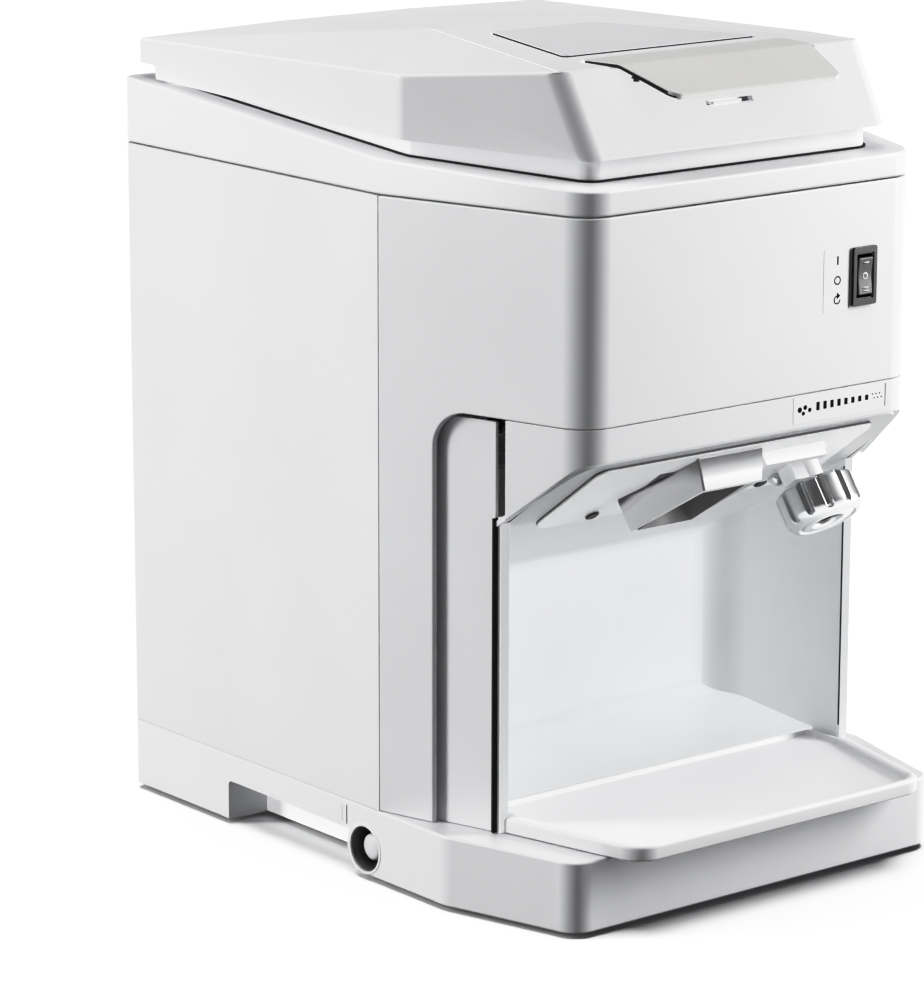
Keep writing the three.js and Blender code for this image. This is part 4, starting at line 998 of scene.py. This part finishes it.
def make_stage():
    bm = bmesh.new()
    bmesh.ops.create_grid(bm, x_segments=8, y_segments=8, size=40)
    mesh = bpy.data.meshes.new("floor")
    bm.to_mesh(mesh)
    bm.free()
    floor = bpy.data.objects.new("floor", mesh)
    bpy.context.scene.collection.objects.link(floor)
    mesh.materials.append(material("floor_pale", (0.93, 0.93, 0.93), spread=0.004, rough=0.7, relief=0.05,
                                    specular=0.0))

    # The floor is lit evenly and doesn't throw its light back, so the rounded corners stay dark.
    floor.visible_diffuse = False
    sky = bpy.data.lights.new("floor_light", "SUN")
    sky.energy = 5.2
    sky.angle = math.radians(50)
    sky_lamp = bpy.data.objects.new("floor_light", sky)
    bpy.context.scene.collection.objects.link(sky_lamp)
    light_only(sky_lamp, ["floor"])

    # The lid leans back into the front and top lamps, so it has lamps of its own in their place. The bay,
    # the tray, the grips and the blade head sit in the body's shade and have fills.
    others = [obj.name for obj in bpy.data.objects
              if obj.type == "MESH" and obj.name not in (*LID_PIECES, "floor")]
    shell = [name for name in others if name != "bay_moulding"]
    area_light("left_softbox", -122, 16, 4.5, (1.0, 3.2), 186, (0, -0.12, 0.2))
    light_only(area_light("front_softbox", 50, 18, 1.9, (0.5, 1.6), 42), shell)
    light_only(area_light("top_softbox", 0, 88, 2.0, (1.8, 1.8), 25), others)
    bay, grips = ["bay_moulding"], ["left_carry_backing", "right_carry_backing"]
    in_bay, in_tray, at_foot, at_blades = (0, 0, 0.12), (0, -0.1, 0.05), (0, 0, 0), (0, -0.14, 0.22)
    panel = (0.7, 0.5)
    fills = (
        ("lid_front", 48, 4, 3.5, (1.2, 2.4), 188, MIDDLE, LID_PIECES),
        ("lid_top", 185, 70, 2.0, (1.8, 1.8), 32, MIDDLE, LID_PIECES),
        ("bay_right", 48, 25, 1.6, panel, 20.5, in_bay, bay),
        ("bay_left", -122, 25, 1.6, panel, 5.5, in_bay, bay),
        ("tray_fill", -20, 50, 1.6, panel, 3.6, in_tray, ["tray_moulding"]),
        ("grip_fill_left", -75, 6, 1.6, panel, 14, at_foot, grips),
        ("grip_fill_right", 75, 6, 1.6, panel, 14, at_foot, grips),
        ("head_fill", -62, -12, 1.6, panel, 6.5, at_blades, HEAD_PIECES),
        ("head_front", 62, -8, 1.6, (0.5, 0.5), 6.5, at_blades, HEAD_PIECES),
        ("plate_fill", 10, -50, 1.6, panel, 4, at_blades, ["cover_plate_sheet", *bay]),
    )
    for *lamp, lit in fills:
        light_only(area_light(*lamp), lit, False)


def make_tones():
    """A dim sky, and a tone curve with a darker foot and a soft shoulder above white."""
    world = bpy.data.worlds.new("studio")
    world.use_nodes = True
    world.node_tree.nodes["Background"].inputs["Color"].default_value = (0.95, 0.97, 1.0, 1)
    world.node_tree.nodes["Background"].inputs["Strength"].default_value = 0.09
    bpy.context.scene.world = world
    view = bpy.context.scene.view_settings
    view.view_transform = "Standard"
    view.use_curve_mapping = True
    white = 1.5
    view.curve_mapping.white_level = (white, white, white)
    tone = view.curve_mapping.curves[3]
    for x, y in ((0.10, 0.05), (0.30, 0.21), (0.60, 0.60), (0.85, 0.835), (1.1, 0.945)):
        tone.points.new(x / white, y)
    view.curve_mapping.update()


def make_camera():
    """The camera that was fitted to the picture: angles in degrees, lengths in metres."""
    azimuth, elevation, roll = -38.8443, 13.9407, 0.108
    distance, target = 2.42432, (-0.05082, 0, 0.16589)
    lens = bpy.data.cameras.new("camera")
    lens.sensor_width = 36
    lens.lens = 158.745
    lens.shift_x, lens.shift_y = -0.0031, 0.04
    lens.clip_start, lens.clip_end = 0.05, 50
    camera = bpy.data.objects.new("camera", lens)
    camera.matrix_world = (aimed(target, azimuth, elevation, distance)
                           @ Matrix.Rotation(math.radians(roll), 4, "Z"))
    bpy.context.scene.collection.objects.link(camera)
    bpy.context.scene.camera = camera


make_camera()
make_base()
make_drains()
make_panels()
make_bay()
make_tray()
make_head()
make_knob()
make_collar()
make_lid()
make_handle()
make_switch()
make_labels()
make_rear()
for edge_width, kept in POLISHED.items():
    for kept_node in kept:
        polish(kept_node, edge_width)
make_stage()
make_tones()
